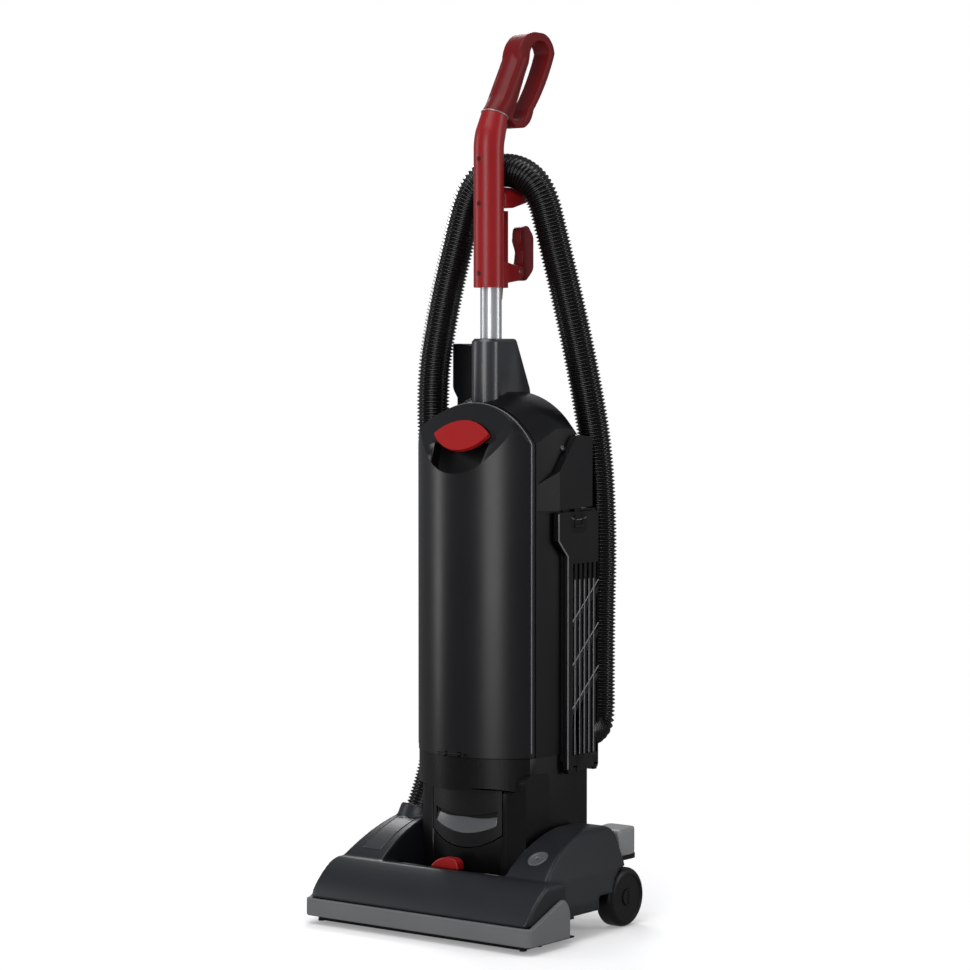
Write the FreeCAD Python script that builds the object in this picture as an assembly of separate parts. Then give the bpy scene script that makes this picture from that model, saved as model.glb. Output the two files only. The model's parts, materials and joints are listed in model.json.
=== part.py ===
import FreeCAD, Part
import math
import os

V = FreeCAD.Vector
os.makedirs("parts", exist_ok=True)

# Upright vacuum cleaner, standing on its wheels at rest with the body upright.
# Millimetres. X runs to the right as seen from the front, Y to the back, Z up from the floor.
# Shapes are drawn from a line on the floor under the handle's foot, and save() moves them all
# forward by middle_y, so that the origin lies under the middle of the machine's depth.

# Fits
run_gap = 0.05          # radial gap of a shaft that turns in its hole
slide_gap = 0.4         # gap beside a piece that slides or swings in a slot
touch_gap = 0.3         # gap between a curved face and the neighbour that it rests near
wall = 3.0              # moulded wall of the casings

# Foot: bumper, cover, arms
body_half = 98.0
bumper_half = 190.5
bumper_front = -155.0
bumper_back = -64.0
bumper_low = 11.0
bumper_high_front = 35.0
bumper_high_back = 63.0
bumper_wall = 7.0
bumper_corner = 9.0
hood_half = bumper_half - bumper_wall - 0.5
hood_front = bumper_front + 2.0
hood_low = bumper_high_front + 1.0
hood_crest = -98.0
hood_top = 86.0
hood_back = bumper_back
hood_back_drop = 5.0
hood_corner = 9.0
arm_inside = body_half + 6.0
arm_outside = hood_half - 3.0
arm_back = 86.0
arm_low = 34.0
arm_top = 138.0
arm_rise = -38.0
arm_rise_high = 121.0
arch_front = 17.0
wheel_arch_top = 52.0
base_low = 8.0
base_plate = 3.0
base_half = bumper_half - bumper_wall - 7.5
rail = 6.0
side_plate = 6.0
sole_thick = 2.0
sole_back = -36.0
screw_head_high = 1.2
screw_head_r = 4.0

# Hinge between foot and body, which is also the motor axis
pivot_y = 34.0
pivot_z = 92.0
trunnion_r = 20.0
trunnion_bore = 15.0
bush_wall = 4.0

# Brush roll, belt
brush_y = -112.0
brush_z = 33.5
bearing_thick = 7.0
brush_end_gap = 3.0
brush_half = base_half - rail - bearing_thick - brush_end_gap
brush_core_r = 15.0
brush_tip_r = 29.5
brush_shaft_r = 4.0
brush_pulley_r = 14.0
pulley_x = brush_half - 38.0
pulley_width = 10.0
motor_pulley_r = 9.0
belt_width = 8.0
belt_thick = 2.0
tuft_r = 2.6
tuft_pitch = 11.0
tuft_turns = 1.5

# Wheels
wheel_r = 40.0
wheel_width = 26.0
wheel_outside = arm_outside - 6.0
wheel_inside = wheel_outside - wheel_width
wheel_y = 91.0
wheel_disc_r = 30.5
wheel_disc_deep = 1.5
wheel_round_out = 8.0
wheel_round_in = 3.0
cap_r = 11.0
cap_thick = 5.0
axle_r = 5.0
roller_r = 9.0
roller_width = 18.0
roller_y = -50.0
roller_axle_r = 2.0
carriage_y = 10.0
carriage_z = 18.0
carriage_half = 26.0
carriage_pin_r = 2.5
roller_gap = 3.0

# Height slider
slider_y = -72.0
slider_x = -7.0
slider_half = 23.0
slider_neck = 10.0
slide_left = 28.0
slide_right = 42.0
degrees_per_mm = 0.07
knob_high = 98.0

# Release pedal
pedal_y = 70.0
pedal_z = 100.0
pedal_pin_r = 3.0
pedal_left = arm_inside + 8.0
pedal_right = pedal_left + 46.0
pedal_front = 92.0
pedal_back = 144.0
pedal_round = 22.0
pedal_top = 131.0
pedal_pad_low = 92.0

# Body casings
body_back = 102.0
body_corner = 22.0
cover_half = 95.5
cover_rim_front = -24.0
cover_rim_back = -14.0
cover_bulge = -71.0
cover_low = 234.0
hinge_y = -68.5
hinge_z = 237.0
hinge_pin_r = 1.3
hinge_knuckle_r = 2.8
hinge_lug_in = 9.0
hinge_lug_out = 13.0
cover_spring = 652.0
cover_top = 706.0
facet_low = 612.0
seam = 233.0
house_spring = 672.0
house_top = 722.0
house_slope_back = 30.0
house_fall_front = 68.0
house_fall = 30.0
cup_half = 96.0
cup_front_half = 88.0
cup_front = -49.0
cup_back = 110.0
cup_low = 24.0
cup_corner = 8.0
cup_swing_r = 71.5        # the cup's underside stays inside this circle when the body leans back
skirt_front = -68.0
skirt_half = 94.5
skirt_low = 188.0
filter_box_left = 60.0
filter_box_right = 100.0
filter_box_front = 42.0
filter_box_back = 118.0
filter_box_low = 222.0
filter_box_high = 563.0
door_out = 108.0
inlet_box_left = 30.0
inlet_box_front = 94.0
inlet_box_high = 290.0
inlet_z = 257.0
recess_right = -56.0
recess_front = 72.0
recess_low = 484.0

# Motor
motor_r = 46.0
motor_left = -64.0
motor_right = 60.0
motor_wall = 4.0
rotor_r = 30.0
shaft_r = 4.0
fan_r = 42.0
mount_wall = 4.0

# Handle
tube_y = 14.0
tube_r = 14.5
tube_wall = 1.5
tube_low = 736.0
tube_high = 1040.0
collar_high = 793.0
column_r = 19.5
column_y = 3.0
web_top_y = 48.0
web_half = 17.0
stem_low = 862.0
stem_bend = 1048.0
stem_y = 9.0
stem_lean = 20.0
stem_bend_r = 60.0
stem_length = 28.0
stem_half_x = 20.0
stem_half_y = 21.5
tip_half_x = 17.5
tip_half_y = 19.0
spine_back = 40.5
spine_top = 966.0
grip_top = 1212.5
grip_back = 141.0
grip_lean = 30.5
grip_bar_x = 18.0
grip_bar_y = 16.3
grip_shift = 3.0
strap_half = 14.5
hook_y = 63.0
hook_z = 884.0
hook_half = 8.0
hook_pin_r = 3.0

# Hose
hose_r = 23.0
hose_root_r = 20.8
hose_bore_r = 19.0
long_ribs = 176
foot_ribs = 20
connector_low = 300.0
connector_high = 350.0
connector_x = -124.0
connector_y = 64.0
socket_wall = 3.0
elbow_x = 88.0
elbow_y = 143.0
elbow_top = 290.0
elbow_turn = 26.6
cuff_wall = 1.4
middle_y = (bumper_front + elbow_y + hose_r + touch_gap + cuff_wall) / 2


# Shapes drawn as closed outlines. A point is (u, v) or (u, v, corner radius), and
# ("via", u, v) makes the stretch between its neighbours an arc through it.

def corner(points, index):
    point = points[index]
    here = V(point[0], point[1], 0)
    if len(point) < 3:
        return here, None, here
    before = points[index - 1]
    after = points[(index + 1) % len(points)]
    back = (V(before[0], before[1], 0) - here).normalize()
    ahead = (V(after[0], after[1], 0) - here).normalize()
    half = back.getAngle(ahead) / 2
    reach = point[2] / math.tan(half)
    bisector = (back + ahead).normalize()
    middle = here + bisector * (point[2] / math.sin(half) - point[2])
    return here + back * reach, middle, here + ahead * reach


def flat_wire(points):
    plain = [p for p in points if p[0] != "via"]
    corners = [corner(plain, i) for i in range(len(plain))]
    edges = []
    index = -1
    for place, point in enumerate(points):
        if point[0] == "via":
            continue
        index += 1
        start, middle, end = corners[index]
        if middle is not None:
            edges.append(Part.Arc(start, middle, end).toShape())
        follow = corners[(index + 1) % len(corners)][0]
        mark = points[(place + 1) % len(points)]
        if mark[0] == "via":
            edges.append(Part.Arc(end, V(mark[1], mark[2], 0), follow).toShape())
        elif end.distanceToPoint(follow) > 0.000001:
            edges.append(Part.LineSegment(end, follow).toShape())
    return Part.Wire(edges)


def placed(shape, plane, low):
    if plane == "xy":
        shape.Placement = FreeCAD.Placement(V(0, 0, low), FreeCAD.Rotation())
    if plane == "yz":
        shape.Placement = FreeCAD.Placement(V(low, 0, 0), FreeCAD.Rotation(V(1, 1, 1), 120))
    if plane == "xz":
        shape.Placement = FreeCAD.Placement(V(0, low, 0), FreeCAD.Rotation(V(1, 0, 0), 90))
    return shape


def prism(plane, points, low, high):
    face = Part.Face(flat_wire(points))
    length = high - low
    solid = face.extrude(V(0, 0, length))
    if plane == "xz":
        return placed(solid, plane, high)
    return placed(solid, plane, low)


def box(x0, x1, y0, y1, z0, z1):
    return Part.makeBox(x1 - x0, y1 - y0, z1 - z0, V(x0, y0, z0))


def rod(axis, a, b, radius, low, high):
    starts = {"x": V(low, a, b), "y": V(a, low, b), "z": V(a, b, low)}
    ways = {"x": V(1, 0, 0), "y": V(0, 1, 0), "z": V(0, 0, 1)}
    return Part.makeCylinder(radius, high - low, starts[axis], ways[axis])


def ring(axis, a, b, outer, inner, low, high):
    return rod(axis, a, b, outer, low, high).cut(rod(axis, a, b, inner, low - 1, high + 1))


def joined(shapes):
    whole = shapes[0]
    for shape in shapes[1:]:
        whole = whole.fuse(shape)
    return whole.removeSplitter()


def mirrored(shape):
    return shape.mirror(V(0, 0, 0), V(1, 0, 0))


def both(shape):
    return [shape, mirrored(shape)]


def common_of(shapes):
    whole = shapes[0]
    for shape in shapes[1:]:
        whole = whole.common(shape)
    return whole


def save(shape, name):
    print("%-18s %3d solids %12.0f mm3 valid %s" % (name, len(shape.Solids), shape.Volume, shape.isValid()))
    moved = shape.copy()
    moved.translate(V(0, -middle_y, 0))
    moved.exportStep("parts/" + name + ".step")


# Foot cover: rounded hood over the brush and one arm on each side of the body

def hood_form(inset):
    front = hood_front + inset
    top = hood_top - inset
    back = hood_back - inset
    half = hood_half - inset
    low = hood_low if inset == 0 else hood_low - 2 * wall
    belly = (hood_front + 21 + 0.7 * inset, hood_low + 26 - 0.7 * inset)
    side = [(front, low), ("via", belly[0], belly[1]), (hood_crest, top), (back, top - hood_back_drop),
        (back, low)]
    across = [(-half, low), (half, low), (half, top, hood_corner), (-half, top, hood_corner)]
    plan = [(-half, back), (-half, front, hood_corner), (half, front, hood_corner), (half, back)]
    return common_of([
        prism("yz", side, -half, half),
        prism("xz", across, front - 1, back + 1),
        prism("xy", plan, low, top + 1),
    ])


def arm_form(inset):
    front = hood_crest - 6 + inset
    back = arm_back - inset
    low = arm_low if inset == 0 else arm_low - 2 * wall
    arch = wheel_arch_top if inset == 0 else arm_low - 2 * wall
    slope_foot = hood_top - 8
    crest = arm_top - inset
    side = [
        (front, low), (front, slope_foot - 1.1 * inset),
        ("via", arm_rise + 0.6 * inset, arm_rise_high - 0.8 * inset),
        (24, crest), (back, crest, 20 - inset), (back, arch), (arch_front, arch), (arch_front, low),
    ]
    if inset > 0:
        side = side[:5] + [(back, low)]
    shoulder = [(arm_outside - 27, crest, 12)]
    if inset > 0:
        shoulder = [(arm_outside - 25 - inset, crest - 5), (arm_outside - 32 - inset, crest)]
    across = [(arm_inside + inset, low - 1), (arm_outside - inset, low - 1), (arm_outside - inset, 48)]
    across = across + [(arm_outside - 6 - inset, 84)] + shoulder + [(arm_inside + inset, crest)]
    return prism("yz", side, arm_inside, arm_outside).common(prism("xz", across, front - 1, back + 1))


pivot_plate_in = arm_inside + wall + 1
pivot_plate_out = pivot_plate_in + side_plate
axle_plate_in = wheel_inside - 18
axle_plate_out = axle_plate_in + side_plate
plate_back = 80.0
trunnion_end = pivot_plate_out + 2


def wheel_well():
    around = rod("x", wheel_y, wheel_r, wheel_r + 4, wheel_inside - wall, arm_outside + 1)
    beside = box(axle_plate_in - 1.5, wheel_inside - wall + 1, 40, arm_back + 14, 20, 76)
    return around.fuse(beside)


knob_left = slider_x - slider_half
knob_right = slider_x + slider_half
slot_left = slider_x - slider_neck - slide_left - slide_gap
slot_right = slider_x + slider_neck + slide_right + slide_gap
neck_front = slider_y - 2
neck_back = slider_y + 2

spigot_top = V(connector_x - 8, 26.0, 137.0)
hose_turn = V(connector_x, connector_y, 216.0)
spigot_way = (hose_turn - spigot_top).normalize()
spigot_length = 14.0
spigot_root = spigot_top - spigot_way * spigot_length
spigot_r = hose_r + socket_wall - 1


def along_spigot(start, radius, length):
    return Part.makeCylinder(radius, length, spigot_top + spigot_way * start, spigot_way)


def wheel_lining():
    round_well = ring("x", wheel_y, wheel_r, wheel_r + 6, wheel_r + 4, wheel_inside - wall, arm_outside)
    return round_well.common(arm_form(0))


socket_boss = along_spigot(-20, hose_r + 2 * socket_wall + 0.2, 22)
foot_outside = joined([hood_form(0)] + both(arm_form(0)) + [socket_boss])
foot_inside = joined([hood_form(wall)] + both(arm_form(wall)))
pedal_slot = box(pivot_plate_out - 1, axle_plate_in + 1, pedal_y + 2, arm_back + 10, pedal_pad_low - 8, 119)
foot_cover = foot_outside.cut(foot_inside)
foot_cover = foot_cover.cut(joined(both(wheel_well())))
foot_cover = foot_cover.fuse(both(wheel_lining()))
bush_hole = rod("x", pivot_y, pivot_z, trunnion_r + bush_wall, arm_inside - 4, pivot_plate_in + 2)
foot_cover = foot_cover.cut(joined(both(bush_hole)))
foot_cover = foot_cover.cut(box(slot_left, slot_right, neck_front - slide_gap, neck_back + slide_gap, 70, 90))
foot_cover = foot_cover.cut(pedal_slot)
foot_cover = foot_cover.cut(along_spigot(-spigot_length - 8, hose_r + socket_wall, 60))
save(foot_cover.removeSplitter(), "foot_cover")

# Bumper: grey band round the front and sides, higher towards the back of each side
band_side = [
    (bumper_front - 5, bumper_low), (bumper_back, bumper_low), (bumper_back, 40),
    ("via", bumper_back - 4, 54),
    (bumper_back - 13, bumper_high_back), (bumper_back - 20, bumper_high_back - 2),
    (bumper_front + 9, bumper_high_front), (bumper_front - 5, bumper_high_front),
]
band_outside = [
    (-bumper_half, bumper_back), (-bumper_half, bumper_front, bumper_corner),
    (bumper_half, bumper_front, bumper_corner), (bumper_half, bumper_back),
]
band_inner_half = bumper_half - bumper_wall
band_inner_front = bumper_front + bumper_wall
band_inside = [
    (-band_inner_half, bumper_back + 1), (-band_inner_half, band_inner_front, bumper_corner - bumper_wall),
    (band_inner_half, band_inner_front, bumper_corner - bumper_wall), (band_inner_half, bumper_back + 1),
]
bumper = common_of([
    prism("yz", band_side, -bumper_half, bumper_half),
    prism("xy", band_outside, bumper_low, bumper_high_back),
]).cut(prism("xy", band_inside, bumper_low - 1, bumper_high_back + 1))
save(bumper, "bumper")

# Foot base: floor plate, rails, plates that carry the pivot, axles and pins
base_top = base_low + base_plate
base_front = band_inner_front
brush_open_front = -142.0
brush_open_back = -78.0
brush_open_half = brush_half + brush_end_gap - 1
front_plan = [
    (-base_half, hood_back), (-base_half, base_front, 10), (base_half, base_front, 10),
    (base_half, hood_back),
]
base = prism("xy", front_plan, base_low, base_top)
base = base.fuse(box(-pivot_plate_in, pivot_plate_in, hood_back, pivot_y + 24, base_low, base_top))
base = base.cut(box(-brush_open_half, brush_open_half, brush_open_front, brush_open_back, 0, 30))
base = base.cut(box(-carriage_half - 5, carriage_half + 5, brush_open_back - 1, carriage_y + 8, 0, 30))
side_rail = box(base_half - rail, base_half, base_front + 10, hood_back, base_low, hood_low - 2)
front_rail = box(-base_half + 10, base_half - 10, base_front, brush_open_front, base_low, hood_low - 2)
pivot_plate_side = [
    (hood_back, base_low), (38, base_low), (48, 36), (plate_back, 36), (plate_back, 98), (70, 109),
    (pivot_y, 121),
    (-10, 100), (hood_back, 60),
]
pivot_plate = prism("yz", pivot_plate_side, pivot_plate_in, pivot_plate_out)
pivot_plate = pivot_plate.cut(rod("x", pivot_y, pivot_z, trunnion_r + bush_wall, arm_inside,
    pivot_plate_out + 1))
axle_plate_side = [(44, 36), (wheel_y + 10, 36), (wheel_y + 10, 52), (plate_back, 74), (44, 74)]
axle_plate = prism("yz", axle_plate_side, axle_plate_in, axle_plate_out)
axle_web = box(pivot_plate_in, axle_plate_out, 50, 56, 36, 74)
side_frame = joined([pivot_plate, axle_plate, axle_web]).cut(rod("x", wheel_y, wheel_r, axle_r,
    arm_inside, wheel_inside))
pedal_plate = prism("yz", [(56, 74), (78, 74), (78, 98), (70, 109), (60, 106)], axle_plate_in, axle_plate_out)
pin_lug = box(carriage_half + 5, carriage_half + 10, carriage_y - 7, carriage_y + 7, base_low, carriage_z + 7)
pin_lug = pin_lug.cut(rod("x", carriage_y, carriage_z, carriage_pin_r, 0, 60))
pin_lug = pin_lug.cut(rod("x", pivot_y, pivot_z, cup_swing_r, 0, 60))
foot_base = joined([base, front_rail, pedal_plate] + both(side_rail) + both(side_frame) + both(pin_lug))
foot_base = foot_base.cut(along_spigot(-spigot_length - 2, spigot_r + touch_gap, 60))
foot_base = foot_base.cut(rod("x", pedal_y, pedal_z, pedal_pin_r, arm_inside, wheel_inside))
save(foot_base, "foot_base")

# Sole plate with skids at its front corners
sole_top = base_low
sole_low = base_low - sole_thick
sole_plan = [
    (-base_half, sole_back), (-base_half, base_front, 10), (base_half, base_front, 10),
    (base_half, sole_back),
]
sole_plate = prism("xy", sole_plan, sole_low, sole_top)
sole_open_half = brush_open_half - 6
sole_open = [
    (-sole_open_half, -140, 8), (sole_open_half, -140, 8), (sole_open_half, -84, 8),
    (-sole_open_half, -84, 8),
]
sole_plate = sole_plate.cut(prism("xy", sole_open, 0, 20))
roller_open_half = carriage_half + 5
roller_open = [
    (-roller_open_half, -76, 4), (roller_open_half, -76, 4), (roller_open_half, sole_back + 6),
    (-roller_open_half, sole_back + 6),
]
sole_plate = sole_plate.cut(prism("xy", roller_open, 0, 20))
skid_out = base_half - 1
skid = prism("xy", [(skid_out - 9, -146, 4), (skid_out, -146, 4), (skid_out, -136, 4),
    (skid_out - 9, -136, 4)],
             4.0, sole_low)
rear_skid = prism("xy", [(skid_out - 8, -112, 3), (skid_out, -112, 3), (skid_out, -104, 3),
    (skid_out - 8, -104, 3)],
                  4.5, sole_low)
sole_plate = joined([sole_plate] + both(skid) + both(rear_skid))
screw_out = base_half - 26
screw_places = [(-screw_out, -60), (screw_out, -60), (-70, -60), (70, -60), (-90, -46), (90, -46)]
foot_screws = []
for x, y in screw_places:
    sole_plate = sole_plate.cut(rod("z", x, y, screw_head_r, sole_low - 1, sole_low + screw_head_high))
    head = rod("z", x, y, screw_head_r, sole_low, sole_low + screw_head_high)
    slot = box(x - 3, x + 3, y - 0.6, y + 0.6, sole_low - 1, sole_low + 0.7)
    foot_screws.append(head.cut(slot))
save(sole_plate, "sole_plate")
save(Part.makeCompound(foot_screws), "foot_screws")

# Foot duct: box channel in the left arm from the brush chamber to the hose spigot
duct_in = -pivot_plate_out - 2
duct_out = duct_in - 36
duct_wall = 2.5
duct_side = [(-60, 44), (-60, 80), (-12, 118), (4, 127), (46, 127), (76, 104), (76, 88), (44, 86), (-30, 44)]
duct_hollow = [
    (-61, 47), (-61, 77), (-11, 115), (5, 124), (45, 124), (73, 102), (73, 91), (42, 89), (-32, 47),
]
foot_duct = prism("yz", duct_side, duct_out,
    duct_in).fuse(along_spigot(-spigot_length, spigot_r, spigot_length))
foot_duct = foot_duct.cut(prism("yz", duct_hollow, duct_out + duct_wall, duct_in - duct_wall))
foot_duct = foot_duct.cut(along_spigot(-spigot_length - 6, hose_bore_r, 60))
foot_duct = foot_duct.cut(along_spigot(0, hose_r + touch_gap, 30))
save(foot_duct.removeSplitter(), "foot_duct")

# Pivot bushes that carry the trunnions of the body
bush = ring("x", pivot_y, pivot_z, trunnion_r + bush_wall, trunnion_r + run_gap, arm_inside, pivot_plate_out)
save(Part.makeCompound(both(bush)), "pivot_bushes")

# Brush roll: core with pulley, tufts in two screw lines, end bearings, belt
pulley_in = pulley_x - pulley_width / 2
pulley_out = pulley_x + pulley_width / 2
brush_core = rod("x", brush_y, brush_z, brush_core_r, -brush_half, brush_half)
brush_core = brush_core.cut(ring("x", brush_y, brush_z, brush_core_r + 1, brush_pulley_r, pulley_in,
    pulley_out))
brush_core = brush_core.fuse(rod("x", brush_y, brush_z, brush_shaft_r, rail - base_half, base_half - rail))
save(brush_core, "brush_core")

tuft_count = int((2 * brush_half - 16) / tuft_pitch)
tufts = []
for row in range(2):
    for i in range(tuft_count + 1):
        x = -brush_half + 8 + i * tuft_pitch
        if pulley_in - 5 < x < pulley_out + 5:
            continue
        turn = math.radians(180 * row + 360 * tuft_turns * i / tuft_count)
        way = V(0, math.cos(turn), math.sin(turn))
        foot = V(x, brush_y, brush_z) + way * brush_core_r
        tuft = Part.makeCylinder(tuft_r, brush_tip_r - brush_core_r + 1, foot - way, way)
        tufts.append(tuft.cut(rod("x", brush_y, brush_z, brush_core_r, x - 5, x + 5)))
save(Part.makeCompound(tufts), "brush_tufts")

bearing_in = brush_half + brush_end_gap
bearing = box(bearing_in, base_half - rail, brush_y - 12, brush_y + 12, base_top, brush_z + 14)
bearing = bearing.cut(rod("x", brush_y, brush_z, brush_shaft_r + run_gap, brush_half, base_half))
save(Part.makeCompound(both(bearing)), "brush_bearings")

span = math.hypot(pivot_y - brush_y, pivot_z - brush_z)
belt_rise = math.atan2(pivot_z - brush_z, pivot_y - brush_y)
belt_lean = math.asin((brush_pulley_r - motor_pulley_r) / span)


def belt_point(radius_small, radius_large, at_motor, side):
    centre = V(0, pivot_y, pivot_z) if at_motor else V(0, brush_y, brush_z)
    radius = radius_small if at_motor else radius_large
    angle = belt_rise + side * (math.pi / 2 + belt_lean)
    return (centre.y + radius * math.cos(angle), centre.z + radius * math.sin(angle))


def belt_outline(extra):
    small = motor_pulley_r + extra
    large = brush_pulley_r + extra
    far = (pivot_y + small * math.cos(belt_rise), pivot_z + small * math.sin(belt_rise))
    near = (brush_y - large * math.cos(belt_rise), brush_z - large * math.sin(belt_rise))
    return [
        belt_point(small, large, True, 1), ("via", far[0], far[1]), belt_point(small, large, True, -1),
        belt_point(small, large, False, -1), ("via", near[0], near[1]), belt_point(small, large, False, 1),
    ]


belt_in = pulley_x - belt_width / 2
belt_out = pulley_x + belt_width / 2
belt = prism("yz", belt_outline(touch_gap + belt_thick), belt_in, belt_out)
belt = belt.cut(prism("yz", belt_outline(touch_gap), belt_in - 1, belt_out + 1))
save(belt, "drive_belt")

# Rear wheels, their axles, and caps with an upright slot


def rim_at(shape, x):
    return [e for e in shape.Edges
            if e.Curve.TypeId == "Part::GeomCircle" and abs(e.CenterOfMass.x - x) < 0.01]


def wheel_rod(radius, low, high):
    return rod("x", wheel_y, wheel_r, radius, low, high)


def wheel_form():
    wheel = wheel_rod(wheel_r, wheel_inside, wheel_outside)
    wheel = wheel.makeFillet(wheel_round_out, rim_at(wheel, wheel_outside))
    wheel = wheel.makeFillet(wheel_round_in, rim_at(wheel, wheel_inside))
    wheel = wheel.cut(wheel_rod(wheel_disc_r, wheel_outside - wheel_disc_deep, wheel_outside + 1))
    wheel = wheel.cut(wheel_rod(cap_r + slide_gap, wheel_outside - cap_thick, wheel_outside + 1))
    wheel = wheel.cut(ring("x", wheel_y, wheel_r, wheel_disc_r, cap_r + 3, wheel_inside - 1,
        wheel_inside + 14))
    return wheel.cut(wheel_rod(axle_r + run_gap, wheel_inside - 1, wheel_outside + 1))


save(wheel_form(), "rear_wheel_right")
save(mirrored(wheel_form()), "rear_wheel_left")
axle_end = wheel_outside - 2
axle = wheel_rod(axle_r, pivot_plate_in, axle_end)
save(Part.makeCompound(both(axle)), "wheel_axles")
cap_slot = box(wheel_outside - 1.2, wheel_outside + 1, wheel_y - 2.5, wheel_y + 2.5, wheel_r - 9, wheel_r + 9)
cap = wheel_rod(cap_r, wheel_outside - cap_thick + touch_gap, wheel_outside + 0.4)
cap = cap.cut(wheel_rod(axle_r, wheel_inside, axle_end)).cut(cap_slot)
save(Part.makeCompound(both(cap)), "wheel_caps")

# Front carriage that sets the height, with its rollers and axle
carriage_top = carriage_z + 5
carriage_low = carriage_z + 1
pad_back = slider_y + 3
pad_front = slider_y - 3
ear_low = roller_r - 5
carriage = box(-carriage_half, carriage_half, pad_front - 3, carriage_y - 4, carriage_low, carriage_top)
carriage = carriage.fuse(rod("x", carriage_y, carriage_z, 6, -carriage_half, carriage_half))
roller_in = roller_gap
roller_out = roller_gap + roller_width
outer_ear = box(roller_out + 1, carriage_half, roller_y - 6, roller_y + 6, ear_low, carriage_low)
middle_ear = box(-roller_in + 1, roller_in - 1, roller_y - 6, roller_y + 6, ear_low, carriage_low)
pad = box(-1.5, 1.5, pad_front, pad_back, carriage_top, carriage_top + 3)
carriage = joined([carriage, middle_ear, pad] + both(outer_ear))
carriage = carriage.cut(rod("x", carriage_y, carriage_z, carriage_pin_r + run_gap, -60, 60))
carriage = carriage.cut(rod("x", roller_y, roller_r, roller_axle_r, -60, 60))
save(carriage, "front_carriage")
save(rod("x", roller_y, roller_r, roller_axle_r, -carriage_half, carriage_half), "front_axle")
roller = ring("x", roller_y, roller_r, roller_r, roller_axle_r + run_gap, roller_in, roller_out)
save(Part.makeCompound(both(roller)), "front_rollers")

# Height slider: red knob on the hood and a ramp that presses the carriage pad down
knob_low = hood_top - hood_back_drop + 2.6
knob_side = [
    (knob_left, knob_low), (knob_right, knob_low), (knob_right - 1, knob_low + 4),
    ("via", knob_right - 4, knob_high - 3), (knob_right - 10, knob_high), (slider_x - 2, knob_high),
    ("via", slider_x - 13, knob_high - 4), (knob_left, knob_low + 2),
]
knob = prism("xz", knob_side, slider_y - 8, slider_y + 7)
knob = knob.fuse(box(slider_x - slider_neck, slider_x + slider_neck, neck_front, neck_back, 60, knob_low))
ramp_slope = math.radians(degrees_per_mm) * (carriage_y - slider_y)
ramp_left = -slide_right - 4
ramp_right = slide_left + 4
ramp_mid = carriage_top + 3 + 0.5
ramp = [
    (ramp_left, ramp_mid + ramp_slope * ramp_left), (ramp_right, ramp_mid + ramp_slope * ramp_right),
    (ramp_right, 74), (ramp_left, 74),
]
height_slider = joined([knob, prism("xz", ramp, neck_front, neck_back)])
save(height_slider, "height_slider")

# Release pedal: grey pad on a black lever that swings on a pin in the foot base
lever_left = pivot_plate_out + slide_gap
lever_right = axle_plate_in - slide_gap
lever = rod("x", pedal_y, pedal_z, 7, lever_left, lever_right)
lever = lever.fuse(box(lever_left, lever_right, pedal_y, pedal_front + 2, pedal_z - 6, pedal_z + 5))
lever_tray = [
    (pedal_left + 2, pedal_front), (pedal_right - 2, pedal_front),
    (pedal_right - 2, pedal_back + 3, pedal_round - 2), (pedal_left + 2, pedal_back + 3, pedal_round - 2),
]
lever = lever.fuse(prism("xy", lever_tray, pedal_pad_low - 6, pedal_pad_low))
lever = lever.fuse(box(lever_left, lever_right, pedal_front, pedal_front + 12, pedal_pad_low - 1,
    pedal_z + 5))
pad_side = [
    (pedal_front, pedal_pad_low), (pedal_back, pedal_pad_low), (pedal_back, pedal_top, 14),
    (pedal_front, pedal_top - 3, 6),
]
pad_plan = [
    (pedal_left, pedal_front), (pedal_right, pedal_front), (pedal_right, pedal_back, pedal_round),
    (pedal_left, pedal_back, pedal_round),
]
pedal_pad = prism("yz", pad_side, pedal_left, pedal_right)
pedal_pad = pedal_pad.common(prism("xy", pad_plan, pedal_pad_low, pedal_top + 1)).cut(lever)
lever = lever.cut(rod("x", pedal_y, pedal_z, pedal_pin_r + run_gap, arm_inside, wheel_inside))
save(lever.removeSplitter(), "pedal_lever")
save(pedal_pad, "release_pedal")

# Pins of the foot
pedal_pin = rod("x", pedal_y, pedal_z, pedal_pin_r, pivot_plate_in, axle_plate_out)
carriage_pin = rod("x", carriage_y, carriage_z, carriage_pin_r, -carriage_half - 10, carriage_half + 10)
save(Part.makeCompound([pedal_pin, carriage_pin]), "foot_pins")

# Lower housing: skirt under the bag door, cup round the motor, hollow trunnions


def plan_front(half, front_half, front, back, corner_radius, rim):
    return [
        (-half, back, corner_radius), (-half, rim + 20), (-front_half, rim), ("via", 0, front),
        (front_half, rim),
        (half, rim + 20), (half, back, corner_radius),
    ]


def cup_form(inset):
    plan = plan_front(cup_half - inset, cup_front_half - inset, cup_front + inset, cup_back - inset,
                      max(cup_corner - inset, 1), cover_rim_front)
    low = cup_low + inset
    side = [
        (cup_front + inset, seam - inset), (cup_front + inset, pivot_z),
        ("via", -22 + 0.8 * inset, 44 + 0.8 * inset), (pivot_y, low),
        ("via", cup_back - 24 - 0.7 * inset, 45 + 0.7 * inset), (cup_back - 2 - inset, pivot_z),
        (cup_back - inset, 112), (cup_back - inset, seam - inset),
    ]
    return prism("xy", plan, 10, seam - inset).common(prism("yz", side, -cup_half, cup_half))


def skirt_form(inset):
    plan = [
        (-skirt_half + inset, 20), (-skirt_half + inset, cover_rim_front), ("via", 0, skirt_front + inset),
        (skirt_half - inset, cover_rim_front), (skirt_half - inset, 20),
    ]
    return prism("xy", plan, skirt_low - inset, seam - inset)


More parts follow.
